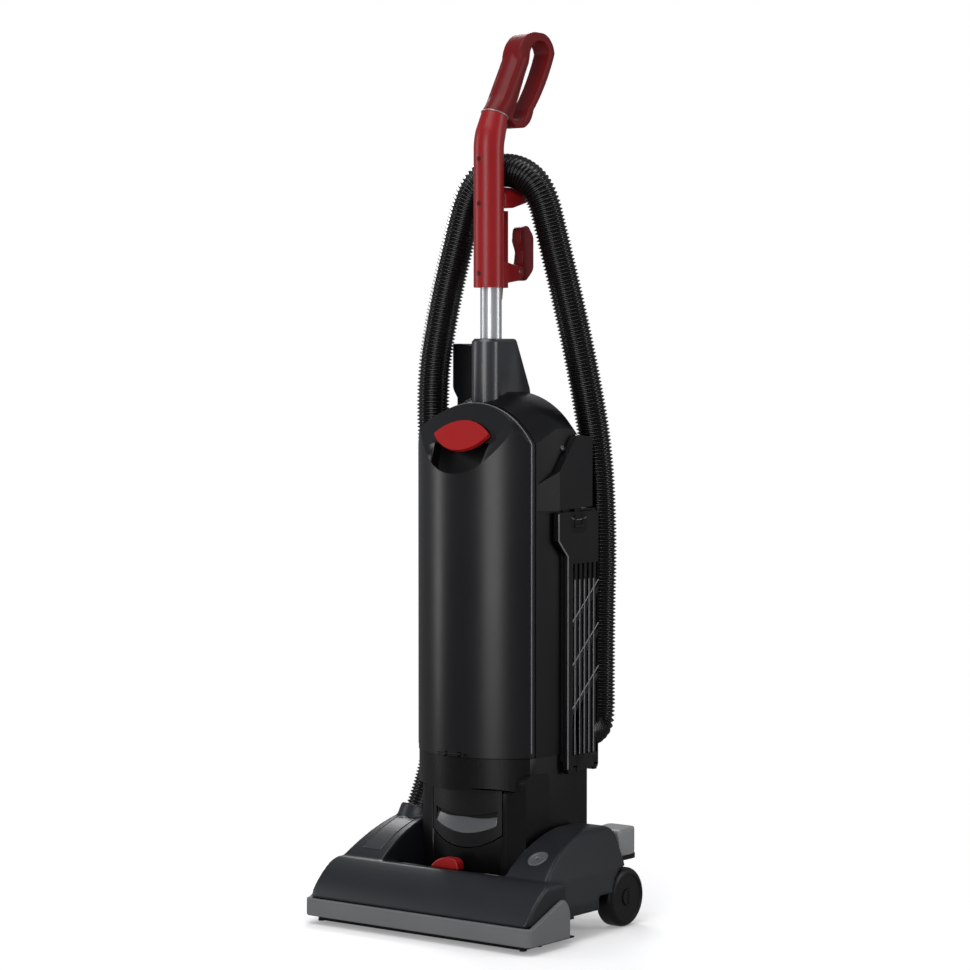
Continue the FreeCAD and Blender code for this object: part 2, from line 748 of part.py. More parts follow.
def trimmed_skirt(inset):
    wave = [
        (-110, 150), (110, 150), (110, skirt_low + 3), (84, skirt_low), ("via", 64, skirt_low + 4),
        (45, skirt_low + 5), ("via", 24, skirt_low + 4), (0, skirt_low), ("via", -50, skirt_low + 1),
        (-110, skirt_low + 5),
    ]
    return skirt_form(inset).cut(prism("xz", wave, skirt_front - 5, cover_rim_front + 6))


cup_outside = cup_form(0).fuse(trimmed_skirt(0))
bulkheads = [box(motor_left + 6, motor_left + 12, -60, 120, 10, seam - wall)]
bulkheads.append(box(motor_right - 12, motor_right - 6, -60, 120, 10, seam - wall))
lower_housing = cup_outside.cut(cup_form(wall)).cut(skirt_form(wall))
lower_housing = lower_housing.fuse([b.common(cup_form(wall)) for b in bulkheads])
lower_housing = lower_housing.fuse(both(rod("x", pivot_y, pivot_z, trunnion_r, cup_half - wall,
    trunnion_end)))
lower_housing = lower_housing.cut(rod("x", pivot_y, pivot_z, motor_r + mount_wall, motor_left, motor_right))
lower_housing = lower_housing.cut(rod("x", pivot_y, pivot_z, trunnion_bore, cup_half - 10, trunnion_end + 5))
lower_housing = lower_housing.cut(rod("x", pivot_y, pivot_z, trunnion_bore, -trunnion_end - 5,
    -cup_half + 10))
lower_housing = lower_housing.cut(rod("z", 0, 30, 26, seam - 10, seam + 1))

# Prefilter cover in the front of the cup, with a finger recess and a lip
pre_half = 59.5
pre_low = 108.0
pre_rise = 20.0
pre_high = skirt_low + 1
pre_depth = 8.0
pre_gap = 1.2
finger_half = pre_half - 8
finger_low = 128.0
finger_high = 160.0


def pre_window(gap):
    outline = [
        (-pre_half + gap, pre_high), (-pre_half + gap, pre_low + pre_rise + gap), ("via", 0, pre_low + gap),
        (pre_half - gap, pre_low + pre_rise + gap), (pre_half - gap, pre_high),
    ]
    return prism("xz", outline, cup_front - 2, cover_rim_front + 6)


finger = [
    (-finger_half, finger_high), (-finger_half, finger_low + 13), ("via", 0, finger_low),
    (finger_half, finger_low + 13), (finger_half, finger_high), ("via", 0, finger_high - 8),
]
finger_cut = prism("xz", finger, cup_front - 5, cup_front + 40).common(cup_form(-1)).cut(cup_form(5))
prefilter_cover = cup_form(0).common(pre_window(pre_gap)).cut(cup_form(pre_depth)).cut(finger_cut)
lower_housing = lower_housing.cut(pre_window(0).common(cup_form(-1)).cut(cup_form(pre_depth)))
pre_frame = pre_window(0).common(cup_form(pre_depth)).cut(cup_form(pre_depth + wall))
lower_housing = lower_housing.fuse(pre_frame)

# Lugs on the skirt that hold the hinge pin of the front cover
skirt_lug = box(hinge_lug_in, hinge_lug_out, hinge_y + 1.5, hinge_y + 10, seam - 2, hinge_z)
skirt_lug = skirt_lug.fuse(rod("x", hinge_y, hinge_z, hinge_knuckle_r, hinge_lug_in, hinge_lug_out))
skirt_lug = skirt_lug.cut(rod("x", hinge_y, hinge_z, hinge_pin_r, 0, hinge_lug_out + 1))
lower_housing = lower_housing.fuse(both(skirt_lug))

# Duct cover: square box on the right front of the cup
duct_cover_left = pre_half + 6.5
duct_cover_side = [(-38, 80), (14, 80), (14, 212, 10), (-38, 212, 14)]
duct_cover = prism("yz", duct_cover_side, duct_cover_left, body_half).cut(cup_form(0)).cut(skirt_form(0))
save(lower_housing.removeSplitter(), "lower_housing")
save(prefilter_cover, "prefilter_cover")
save(duct_cover, "duct_cover")

# Motor can, armature with shaft, fan, pulley, rubber mounts
motor = ring("x", pivot_y, pivot_z, motor_r, motor_r - motor_wall, motor_left, motor_right)
motor = motor.fuse(ring("x", pivot_y, pivot_z, motor_r, shaft_r + run_gap, motor_left, motor_left + 5))
motor = motor.fuse(ring("x", pivot_y, pivot_z, motor_r, shaft_r + run_gap, motor_right - 5, motor_right))
save(motor.removeSplitter(), "motor")
rotor = rod("x", pivot_y, pivot_z, rotor_r, motor_left + 16, motor_right - 16)
rotor = rotor.fuse(rod("x", pivot_y, pivot_z, shaft_r, motor_left - 24, pulley_out))
save(rotor, "armature")
fan = ring("x", pivot_y, pivot_z, fan_r, shaft_r, motor_left - 22, motor_left - 19)
for i in range(9):
    blade = box(motor_left - 19, motor_left - 10, pivot_y + 8, pivot_y + fan_r - 2, pivot_z - 1, pivot_z + 1)
    blade.rotate(V(0, pivot_y, pivot_z), V(1, 0, 0), i * 40)
    fan = fan.fuse(blade)
fan = fan.fuse(ring("x", pivot_y, pivot_z, 9, shaft_r, motor_left - 22, motor_left - 10))
save(fan.removeSplitter(), "fan")
save(ring("x", pivot_y, pivot_z, motor_pulley_r, shaft_r, pulley_in, pulley_out), "motor_pulley")
mount_a = ring("x", pivot_y, pivot_z, motor_r + mount_wall, motor_r, motor_left + 4, motor_left + 14)
mount_b = ring("x", pivot_y, pivot_z, motor_r + mount_wall, motor_r, motor_right - 14, motor_right - 4)
save(Part.makeCompound([mount_a, mount_b]), "motor_mounts")

# Rear housing: arched shell with the filter box on its right side
neck_front_y = 70.0


def arch(half, low, spring, top):
    return [(-half, low), (half, low), (half, spring), ("via", 0, top), (-half, spring)]


def arch_wire(y, half, low, spring, top):
    wire = flat_wire(arch(half, low, spring, top))
    wire.Placement = FreeCAD.Placement(V(0, y, 0), FreeCAD.Rotation(V(1, 0, 0), 90))
    return wire


def house_form(inset):
    low = seam if inset == 0 else seam + inset
    front = arch_wire(cover_rim_back, cover_half + 1.5 - inset, low, cover_spring, cover_top + 2 - inset)
    middle = arch_wire(house_slope_back, body_half - inset, low, house_spring, house_top - inset)
    slope = Part.makeLoft([front, middle], True, True)
    straight = prism("xz", arch(body_half - inset, low, house_spring, house_top - inset),
                     house_slope_back, house_fall_front)
    flat_end = arch_wire(house_fall_front, body_half - inset, low, house_spring, house_top - inset)
    fallen_end = arch_wire(body_back - inset, body_half - inset, low, house_spring - house_fall,
                           house_top - house_fall - inset)
    rear = Part.makeLoft([flat_end, fallen_end], True, True)
    plan = [
        (-body_half - 1, cover_rim_back - 5), (body_half + 1, cover_rim_back - 5),
        (body_half - inset, 60), (body_half - inset, body_back - inset, body_corner),
        (-body_half + inset, body_back - inset, body_corner), (-body_half + inset, 60),
    ]
    recess = box(-body_half - 30, recess_right + inset, recess_front - inset, body_back + 1,
        recess_low - inset,
                 house_top + 1)
    return slope.fuse([straight, rear]).common(prism("xy", plan, low, house_top + 1)).cut(recess)


filter_box = box(filter_box_left, filter_box_right, filter_box_front, filter_box_back,
                 filter_box_low, filter_box_high)
filter_space = box(filter_box_left + wall, filter_box_right + 1, filter_box_front + wall,
                   inlet_box_front, filter_box_low + wall, filter_box_high - wall)
inlet_box = box(inlet_box_left, filter_box_right, inlet_box_front, filter_box_back, filter_box_low,
    inlet_box_high)
inlet_neck = box(inlet_box_left, filter_box_left, neck_front_y, filter_box_back, filter_box_low,
    inlet_box_high)
inlet_space = box(inlet_box_left + wall, filter_box_right - wall, inlet_box_front + wall,
                  filter_box_back - wall, seam + wall, inlet_box_high - wall)
neck_space = box(inlet_box_left + wall, filter_box_left - wall, neck_front_y + wall,
                 filter_box_back - wall, seam + wall, inlet_box_high - wall)
riser_bore = box(inlet_box_left + wall, filter_box_left - wall, neck_front_y + wall,
                 body_back - wall - 2, inlet_box_high - wall - 1, inlet_box_high + 1)
upper_space = box(filter_box_left + wall, filter_box_right - wall, inlet_box_front + wall,
                  filter_box_back - wall, inlet_box_high, filter_box_high - wall)
house_outside = house_form(0).fuse([filter_box, inlet_box])
rear_housing = house_outside.cut(house_form(wall).cut(filter_box).cut(inlet_box).cut(inlet_neck))
for space in [filter_space, inlet_space, upper_space, neck_space, riser_bore]:
    rear_housing = rear_housing.cut(space)
rear_housing = rear_housing.cut(cup_form(0)).cut(rod("z", 0, 30, 26, seam - 1, seam + 10))

# Elbow that brings the hose to the inlet box: down, then slanting into the back wall
elbow_corner = V(elbow_x, elbow_y, inlet_z)
elbow_way = V(-math.sin(math.radians(elbow_turn)), -math.cos(math.radians(elbow_turn)), 0)


def elbow_pipe(radius, extra):
    down = rod("z", elbow_x, elbow_y, radius, inlet_z, elbow_top + extra)
    across = Part.makeCylinder(radius, 42, elbow_corner, elbow_way)
    return joined([down, across, Part.makeSphere(radius, elbow_corner)])


rear_housing = rear_housing.cut(Part.makeCylinder(hose_bore_r, 36, elbow_corner, elbow_way))
elbow = elbow_pipe(hose_r, 0).cut(elbow_pipe(hose_bore_r, 1))
elbow = elbow.cut(box(0, 130, 60, filter_box_back, 200, 320))
save(elbow, "port_elbow")

# Front cover (bag door): bulged shell with an arched top and a sloping facet for the latch
facet_fall = (cover_top - facet_low) / (cover_rim_front - cover_bulge)


def cover_form(inset):
    plan = [
        (-cover_half + inset, cover_rim_back + inset), (-cover_half + inset, cover_rim_front),
        ("via", 0, cover_bulge + inset), (cover_half - inset, cover_rim_front),
        (cover_half - inset, cover_rim_back + inset),
    ]
    return prism("xy", plan, cover_low, cover_top + 1)


front_edge = cover_bulge - 9
cover_facet = [
    (front_edge, cover_low), (front_edge, facet_low - 9 * facet_fall), (cover_rim_front, cover_top),
    (cover_rim_back, cover_top), (cover_rim_back, cover_low),
]
cover_outside = common_of([
    cover_form(0),
    prism("yz", cover_facet, -cover_half, cover_half),
    prism("xz", arch(cover_half, cover_low, cover_spring, cover_top), front_edge, cover_rim_back),
])
hollow_side = [
    (front_edge, cover_low + wall), (front_edge, facet_low - 60), (cover_bulge + 18, facet_low - 9),
    (cover_rim_front, facet_low + 49), (cover_rim_front, cover_top - 16),
    (cover_rim_back + 5, cover_top - 16),
    (cover_rim_back + 5, cover_low + wall),
]
cover_hollow = common_of([
    cover_form(wall),
    prism("yz", hollow_side, -cover_half, cover_half),
    prism("xz", arch(cover_half - wall, cover_low, cover_spring, cover_top - wall), front_edge, 0),
])
rim_hollow = prism("xz", arch(cover_half - wall, cover_low + wall, cover_spring, cover_top - 16),
                   cover_rim_front, cover_rim_back + 1)

# The latch lies on the facet: u runs up the slope, n points out of it
facet_y = (cover_bulge + cover_rim_front) / 2 + 0.8
facet_z = cover_top + (facet_y - cover_rim_front) * facet_fall
slope_angle = math.degrees(math.atan2(cover_top - facet_low, cover_rim_front - cover_bulge))
facet_up = V(0, math.cos(math.radians(slope_angle)), math.sin(math.radians(slope_angle)))
facet_out = V(0, -facet_up.z, facet_up.y)


def facet_prism(points, low, high):
    solid = Part.Face(flat_wire(points)).extrude(V(0, 0, high - low))
    turn = FreeCAD.Rotation(V(1, 0, 0), slope_angle)
    solid.Placement = FreeCAD.Placement(V(0, facet_y, facet_z) + facet_out * low, turn)
    return solid


latch_half = 46.0
latch_up = 22.0
latch_low = -22.0
latch_gap = 1.2
latch_proud = 7.5
latch_pin_r = 2.0
latch_pin_u = 17.0
latch_pin_n = -5.0
lens = [(-latch_half, 2), ("via", 0, latch_up), (latch_half, 2), ("via", 0, latch_low)]
scoop = [
    (-latch_half, -8), (latch_half, -8), (latch_half - 4, latch_low - 16), ("via", 0, latch_low - 32),
    (-latch_half + 4, latch_low - 16),
]
scoop_depth = 16.0
lug_half = 9.0


def facet_rod(u, n, radius, left, right):
    centre = V(0, facet_y, facet_z) + facet_up * u + facet_out * n
    return rod("x", centre.y, centre.z, radius, left, right)


lug_u0 = latch_pin_u - 5
lug_u1 = latch_pin_u + 5
lug_box = [(-lug_half, lug_u0), (lug_half, lug_u0), (lug_half, lug_u1), (-lug_half, lug_u1)]
lug_room = [
    (-lug_half - 1, lug_u0 - 4), (lug_half + 1, lug_u0 - 4), (lug_half + 1, lug_u1 + 3),
    (-lug_half - 1, lug_u1 + 3),
]
cover_latch = facet_prism(lens, latch_gap, latch_proud)
cover_latch = cover_latch.fuse(facet_prism(lug_box, latch_pin_n, latch_gap))
cover_latch = cover_latch.fuse(facet_rod(latch_pin_u, latch_pin_n, 5, -lug_half, lug_half))
cover_latch = cover_latch.cut(facet_rod(latch_pin_u, latch_pin_n, latch_pin_r + run_gap, -40, 40))
save(cover_latch.removeSplitter(), "cover_latch")
latch_pin = facet_rod(latch_pin_u, latch_pin_n, latch_pin_r, -lug_half - 6, lug_half + 6)

front_cover = cover_outside.cut(cover_hollow).cut(rim_hollow)
front_cover = front_cover.cut(facet_prism(scoop, -scoop_depth, 20))
lens_room = [(-latch_half - 1, 2), ("via", 0, latch_up + 2.4), (latch_half + 1, 2), ("via", 0, latch_low - 1)]
front_cover = front_cover.cut(facet_prism(lens_room, latch_gap - 5.5, 20))
front_cover = front_cover.cut(facet_prism(lug_room, latch_pin_n - 6.5, 20))
front_cover = front_cover.cut(facet_rod(latch_pin_u, latch_pin_n, latch_pin_r, -lug_half - 6, lug_half + 6))
knuckle = rod("x", hinge_y, hinge_z, hinge_knuckle_r, -hinge_lug_in + slide_gap, hinge_lug_in - slide_gap)
front_cover = front_cover.fuse(knuckle)
front_cover = front_cover.cut(rod("x", hinge_y, hinge_z, hinge_pin_r + run_gap, -60, 60))
lug_notch = box(hinge_lug_in - slide_gap, hinge_lug_out + slide_gap, cover_bulge - 2, hinge_y + 12,
                cover_low - 1, hinge_z + hinge_knuckle_r + 0.8)
front_cover = front_cover.cut(joined(both(lug_notch)))
save(front_cover.removeSplitter(), "front_cover")

save(latch_pin, "latch_pin")

# Seal between the front cover and the rear housing
seal_depth = 6.0
seal_width = 5.0
seal_hole = arch(cover_half - wall - seal_width, seam + wall + seal_width, cover_spring, cover_top - wall - 8)
seal = house_form(wall).common(box(-body_half, body_half, cover_rim_back, cover_rim_back + seal_depth,
                                   seam, house_top))
seal = seal.cut(prism("xz", seal_hole, cover_rim_back - 1, cover_rim_back + seal_depth + 1))
save(seal, "cover_seal")

# Riser and dock that bring the dust to the bag, and the bag with its collar
riser_front = neck_front_y
riser_back = body_back - wall
dock_low = 598.0
dock_high = 650.0
dock_left = -40.0
dock_front = 58.0
dock_x = -10.0
dock_z = (dock_low + dock_high) / 2
dock_wall = 2.0
dock_ring_r = 20.0
dock_ring_end = dock_front - 8
riser = box(inlet_box_left, filter_box_left, riser_front, riser_back, inlet_box_high, dock_high)
head = box(dock_left, filter_box_left, dock_front, riser_back, dock_low, dock_high)
riser_hole = box(inlet_box_left + dock_wall, filter_box_left - dock_wall, riser_front + dock_wall,
                 riser_back - dock_wall, inlet_box_high - 1, dock_high - dock_wall)
head_hole = box(dock_left + dock_wall, filter_box_left - dock_wall, dock_front + dock_wall,
                riser_back - dock_wall, dock_low + dock_wall, dock_high - dock_wall)
dock = joined([riser, head, rod("y", dock_x, dock_z, dock_ring_r, dock_ring_end, dock_front + 1)])
dock = dock.cut(riser_hole).cut(head_hole)
dock = dock.cut(rod("y", dock_x, dock_z, dock_ring_r - dock_wall, dock_ring_end - 1, dock_front + 5))
save(dock.removeSplitter(), "bag_dock")

bag_left = -84.0
bag_right = 54.0
bag_front = -58.0
bag_back = 62.0
bag_low = 242.0
bag_slope_high = 70.0
bag_slope_deep = 62.0
bag_high = 646.0
bag_skin = 1.5
collar_thick = 2.0


def bag_form(inset):
    middle = (bag_left + bag_right) / 2
    plan = [
        (bag_left + inset, bag_back - inset, 16), (bag_left + inset, -22), ("via", middle, bag_front + inset),
        (bag_right - inset, -22), (bag_right - inset, bag_back - inset, 16),
    ]
    back_high = dock_ring_end - collar_thick - inset
    side = [
        (bag_front + inset, bag_low + bag_slope_high + 0.4 * inset, 20),
        (bag_front + bag_slope_deep + 0.45 * inset, bag_low + inset, 20),
        (bag_back - inset, bag_low + inset, 20),
        (bag_back - inset, dock_low - 22, 20), (back_high, dock_low - 6 - inset),
        (back_high, bag_high - inset, 16),
        (bag_front + inset, bag_high - 46 - inset, 60),
    ]
    return prism("xy", plan, bag_low, bag_high).common(prism("yz", side, bag_left, bag_right))


collar_low = dock_z - 30
bag_collar = box(dock_x - 38, dock_x + 38, dock_ring_end - collar_thick, dock_ring_end, collar_low,
    dock_z + 30)
filter_bag = bag_form(0).cut(bag_form(bag_skin)).fuse(bag_collar.cut(head))
filter_bag = filter_bag.cut(rod("y", dock_x, dock_z, dock_ring_r - dock_wall, 30, 60))
save(filter_bag.removeSplitter(), "filter_bag")

# Outlet filter: frame with upright pleats
frame_left = filter_box_left + wall + touch_gap
frame_right = filter_box_right - 4
frame_front = filter_box_front + wall + touch_gap
frame_back = inlet_box_front - touch_gap
frame_low = seam + wall
frame_high = filter_box_high - wall - touch_gap
frame_wall = 5.0
pleats = 11
pleat_thick = 1.4
filter_frame = box(frame_left, frame_right, frame_front, frame_back, frame_low, frame_high)
filter_frame = filter_frame.cut(box(frame_left - 1, frame_right + 1, frame_front + frame_wall,
                                    frame_back - frame_wall, frame_low + frame_wall, frame_high - frame_wall))
pleat_pitch = (frame_back - frame_front - 2 * frame_wall) / (pleats + 1)
fold = []
for i in range(pleats):
    y = frame_front + frame_wall + (i + 1) * pleat_pitch
    fold.append(box(frame_left + 3, frame_right - 3, y - pleat_thick / 2, y + pleat_thick / 2,
                    frame_low + frame_wall, frame_high - frame_wall))
save(joined([filter_frame] + fold), "hepa_filter")

# Filter door on the right side: hollow plate with a slotted grille and slanting bars
door_hinge_x = 104.0
door_hinge_z = 210.0
door_pin_r = 1.5
door_wall = 3.0
door_low = 205.0
door_high = 560.0
door_back = 118.0
grille_front = 54.0
grille_back = 116.0
grille_low = 230.0
grille_high = 490.0
slot_pitch = 10.8
slot_width = 5.2
bar_height = 9.0
bar_slope = 0.9
bar_lines = [281.0, 340.0, 399.0]


def door_form(inset):
    side = [
        (43 + inset, door_low + inset, 6 - inset), (door_back - inset, door_low + 7 + inset, 8 - inset),
        (door_back - inset, door_high - inset, 6 - inset), (22 + inset, door_high - inset),
        (22 + inset, 522 + 0.4 * inset), (43 + inset, 500 + 0.4 * inset),
    ]
    plan = [
        (filter_box_right - 10, 10), (door_out - inset, 10), (door_out - inset, door_back - inset, 6),
        (filter_box_right - 10, door_back - inset),
    ]
    return prism("yz", side, filter_box_right, door_out).common(prism("xy", plan, door_low, door_high))


slots = []
slot_count = int((grille_back - grille_front) / slot_pitch) + 1
for i in range(slot_count):
    y = grille_front + i * slot_pitch
    slots.append(box(filter_box_right, door_out + 1, y, y + slot_width, grille_low, grille_high))
bars = []
for z in bar_lines:
    rise = bar_slope * (grille_back - grille_front)
    bar = [
        (grille_front - 4, z), (grille_back + 4, z + rise), (grille_back + 4, z + rise + bar_height),
        (grille_front - 4, z + bar_height),
    ]
    bars.append(prism("yz", bar, filter_box_right, door_out + 1))
latch_y = 68.0
tab_half = 10.0
tab_high = 556.0
tab_low = 538.0
tab_travel = 6.0
tongue_rise = 10.0
tab_room = box(door_out - 5, door_out + 1, latch_y - tab_half - slide_gap, latch_y + tab_half + slide_gap,
               tab_low - tab_travel - 1, door_high + 1)
tab_block = box(filter_box_right, door_out, latch_y - tab_half - 4, latch_y + tab_half + 4,
                tab_low - tab_travel - 4, door_high).common(door_form(0))
hinge_lines = [56.0, 104.0]
lug_length = 8.0
door_notches = []
for y in hinge_lines:
    door_notches.append(box(filter_box_right - 1, door_out + 1, y - slide_gap, y + lug_length + slide_gap,
                            door_low - 1, door_hinge_z + 6))
filter_door = door_form(0).cut(door_form(door_wall).cut(tab_block))
door_room_low = 216.0
door_room = [
    (46, door_room_low), (114, door_room_low), (114, door_high - 4), (30, door_high - 4), (30, 530),
    (46, 505),
]
filter_door = filter_door.cut(prism("yz", door_room, filter_box_right - 1,
    door_out - door_wall).cut(tab_block))
filter_door = filter_door.cut(joined(slots).cut(joined(bars)))
filter_door = filter_door.cut(tab_room).cut(joined(door_notches))
filter_door = filter_door.cut(rod("y", door_hinge_x, door_hinge_z, door_pin_r + run_gap, 40, 120))
save(filter_door.removeSplitter(), "filter_door")

tab = box(door_out - 5, door_out + 1.5, latch_y - tab_half, latch_y + tab_half, tab_low, tab_high)
tongue = box(door_out - 5, door_out - 2.5, latch_y - 6, latch_y + 6, tab_low, door_high + tongue_rise - 1)
tab_dent = box(door_out, door_out + 2, latch_y - tab_half + 3, latch_y + tab_half - 3, tab_low + 4,
    tab_high + 1)
save(tab.fuse(tongue).cut(tab_dent).removeSplitter(), "door_latch")

# The rear housing takes the door's hinge lugs and is saved here, with the room for them
door_lug = [
    (filter_box_right - 4, door_hinge_z - 3.5), (door_hinge_x + 3, door_hinge_z - 3.5),
    (door_hinge_x + 3, door_hinge_z + 3.5), (door_out - door_wall - 1.5, door_hinge_z + 3.5),
    (door_out - door_wall - 1.5, filter_box_low + 4), (filter_box_right - 4, filter_box_low + 4),
]
door_lugs = []
for y in hinge_lines:
    lug = prism("xz", door_lug, y, y + lug_length)
    door_lugs.append(lug.cut(rod("y", door_hinge_x, door_hinge_z, door_pin_r, 0, 130)))
rear_housing = rear_housing.fuse(door_lugs).cut(cup_form(0))
save(rear_housing.removeSplitter(), "rear_housing")

# Side fairing above the filter door
fairing_low = door_high + 3
fairing_side = [
    (-12, fairing_low), (22, fairing_low), (103, fairing_low + 3), (103, 659, 6), (64, 664, 6), (24, 615),
    (-12, 598),
]
fairing_plan = [(90, -12), (cover_half + 1.5, -12), (door_out, 24), (door_out, 103, 5), (90, 103)]
fairing_body = house_form(0).fuse(filter_box)
fairing = prism("yz", fairing_side, 90, door_out).common(prism("xy", fairing_plan, fairing_low, 670))
fairing = fairing.cut(fairing_body)
fairing = fairing.cut(box(80, door_out - 2.2, latch_y - 7, latch_y + 7, fairing_low - 1,
    door_high + tongue_rise))
save(fairing.removeSplitter(), "side_fairing")

# Collar: glossy column round the tube with a web behind it
collar_shoulder = 4.0
column = rod("z", 0, column_y, column_r, cover_top - 6, collar_high)
column = column.makeChamfer(collar_shoulder, [e for e in column.Edges
                                              if e.Curve.TypeId == "Part::GeomCircle"
                                              and e.CenterOfMass.z > collar_high - 1])
web_low = house_top - house_fall
web_side = [
    (column_y, web_low), (86, web_low), (79, house_top + 4), (web_top_y, collar_high, 8),
    (column_y, collar_high),
]
web = prism("yz", web_side, -web_half, web_half)
collar = column.fuse(web).cut(house_form(0)).cut(cover_outside)
collar = collar.cut(box(-60, 60, -60, cover_rim_back, 600, cover_top + touch_gap))
collar = collar.cut(rod("z", 0, tube_y, tube_r, tube_low, collar_high + 1))
save(collar.removeSplitter(), "collar")
save(ring("z", 0, tube_y, tube_r, tube_r - tube_wall, tube_low, tube_high), "handle_tube")

# Stem: red clamshell round the top of the tube, leaning back at its upper end


def stem_form(half_x, half_y, centre_y):
    ellipse = Part.Ellipse(V(0, centre_y + half_y, stem_low), V(half_x, centre_y, stem_low),
        V(0, centre_y, stem_low))
    oval = Part.Face(Part.Wire([ellipse.toShape()]))
    straight = oval.extrude(V(0, 0, stem_bend - stem_low))
    top = oval.copy()
    top.translate(V(0, 0, stem_bend - stem_low))
    bend = top.revolve(V(0, stem_y + stem_bend_r, stem_bend), V(1, 0, 0), -stem_lean)
    lean_low = leaned_oval(bend_end, stem_lean, half_x, half_y)
    lean_high = leaned_oval(stem_tip, stem_lean, tip_half_x, tip_half_y)
    return joined([straight, bend, Part.makeLoft([lean_low, lean_high], True, True)])


def leaned_oval(centre, lean, half_x, half_y):
    stretch = FreeCAD.Matrix()
    stretch.scale(half_x, half_y, 1)
    circle = Part.Circle(V(0, 0, 0), V(0, 0, 1), 1).toShape()
    wire = Part.Wire([circle.transformGeometry(stretch)])
    wire.Placement = FreeCAD.Placement(centre, FreeCAD.Rotation(V(1, 0, 0), -lean))
    return wire


stem_way = V(0, math.sin(math.radians(stem_lean)), math.cos(math.radians(stem_lean)))
stem_side = V(0, stem_way.z, -stem_way.y)
bend_end = V(0, stem_y + stem_bend_r * (1 - stem_way.z), stem_bend + stem_bend_r * stem_way.y)
stem_tip = bend_end + stem_way * stem_length
stem = stem_form(stem_half_x, stem_half_y, stem_y)
stem_rear_y = stem_y + stem_half_y
spine = box(-9, 9, stem_y + 10, spine_back, stem_low, spine_top)
stem = stem.fuse(spine).removeSplitter()
stem = stem.cut(rod("z", 0, tube_y, tube_r, stem_low - 1, tube_high))
stem_seam = stem_y + 6
rear_side = [
    (stem_seam, stem_low - 1), (stem_seam, stem_bend), (stem_seam + 60, stem_bend + 150),
    (stem_seam + 120, stem_bend + 100), (stem_seam + 120, stem_low - 1),
]
rear_half = prism("yz", rear_side, -60, 60)
stem_front = stem.cut(rear_half)
stem_rear = stem.common(rear_half)

# Hook for the hose, saddle shaped, on the back of the stem
hose_turn_x = -12.0
hose_turn_z = 963.0
hose_turn_r = 60.0
saddle_r = hose_turn_r - hose_r - touch_gap
hook_low = 968.0
hook_half_x = 15.0
hook_high = 1004.0
hook_side = [
    (stem_rear_y - 6, hook_low + 2), (stem_rear_y + 14, hook_low + 2, 10), (81, hook_low + 12, 4),
    (81, hook_high), (stem_rear_y - 6, hook_high),
]
hose_hook = prism("yz", hook_side, -hook_half_x, hook_half_x)
hose_hook = hose_hook.common(rod("y", hose_turn_x, hose_turn_z, saddle_r, 20, 100))
hose_hook = hose_hook.cut(stem).cut(rod("z", 0, tube_y, tube_r, stem_low, tube_high))
save(hose_hook.removeSplitter(), "hose_hook")

# Cord hook on a pin between two ears of the stem
ear_in = hook_half + slide_gap
ear_out = ear_in + 4
ear_side = [
    (stem_y + 8, 866), (hook_y - 4, 872), (hook_y + 8, 878, 7), (hook_y + 8, 892, 7), (hook_y - 6, 892),
    (stem_y + 8, 900),
]
ear = prism("yz", ear_side, ear_in, ear_out).cut(rod("z", 0, tube_y, tube_r, stem_low - 1, tube_high))
stem_rear = joined([stem_rear] + both(ear.cut(stem)))
stem_rear = stem_rear.cut(rod("x", hook_y, hook_z, hook_pin_r, -30, 30))
cord_hook_side = [
    (hook_y - 8, 876, 6), (84, 872, 8), (101, 888, 12), (101, 934, 14), (88, 949, 8), (72, 945, 8),
    (70, 926, 6), (77, 912, 8), (74, 894, 6), (hook_y - 8, 892, 6),
]
cord_hook = prism("yz", cord_hook_side, -hook_half, hook_half)
cord_hook = cord_hook.cut(rod("x", hook_y, hook_z, hook_pin_r + run_gap, -30, 30))
save(cord_hook, "cord_hook")

# Rocker switch in the leaning part of the stem
switch_half = 12.0
switch_half_x = 7.0
switch_proud = 2.5
switch_deep = 7.0
switch_along = 12.0
switch_face = stem_half_y + (tip_half_y - stem_half_y) * switch_along / stem_length
switch_spot = bend_end + stem_way * switch_along + stem_side * (switch_face - switch_deep + 1.5)
well_floor = switch_deep + 2.5


def leaned_box(half_x, back, front, half_length):
    block = Part.makeBox(2 * half_x, front + back, 2 * half_length, V(-half_x, -back, -half_length))
    block.Placement = FreeCAD.Placement(switch_spot, FreeCAD.Rotation(V(1, 0, 0), -stem_lean))
    return block


rocker = leaned_box(switch_half_x, switch_deep - 2, switch_deep - 1.5 + switch_proud, switch_half)
rocker = rocker.fuse(rod("x", switch_spot.y, switch_spot.z, 1.5, -switch_half_x - 3, switch_half_x + 3))
well = leaned_box(switch_half_x + slide_gap, well_floor - 2, 40, switch_half + 1.6)
stem_rear = stem_rear.cut(well)
rocker_hole = rod("x", switch_spot.y, switch_spot.z, 1.5 + run_gap, -switch_half_x - 3, switch_half_x + 3)
stem_rear = stem_rear.cut(rocker_hole)
stem_front = stem_front.cut(well).cut(rocker_hole)
latch_spot = V(0, facet_y, facet_z) + facet_up * latch_pin_u + facet_out * latch_pin_n
print("switch axis", switch_spot, "latch axis", latch_spot)
save(rocker, "power_switch")

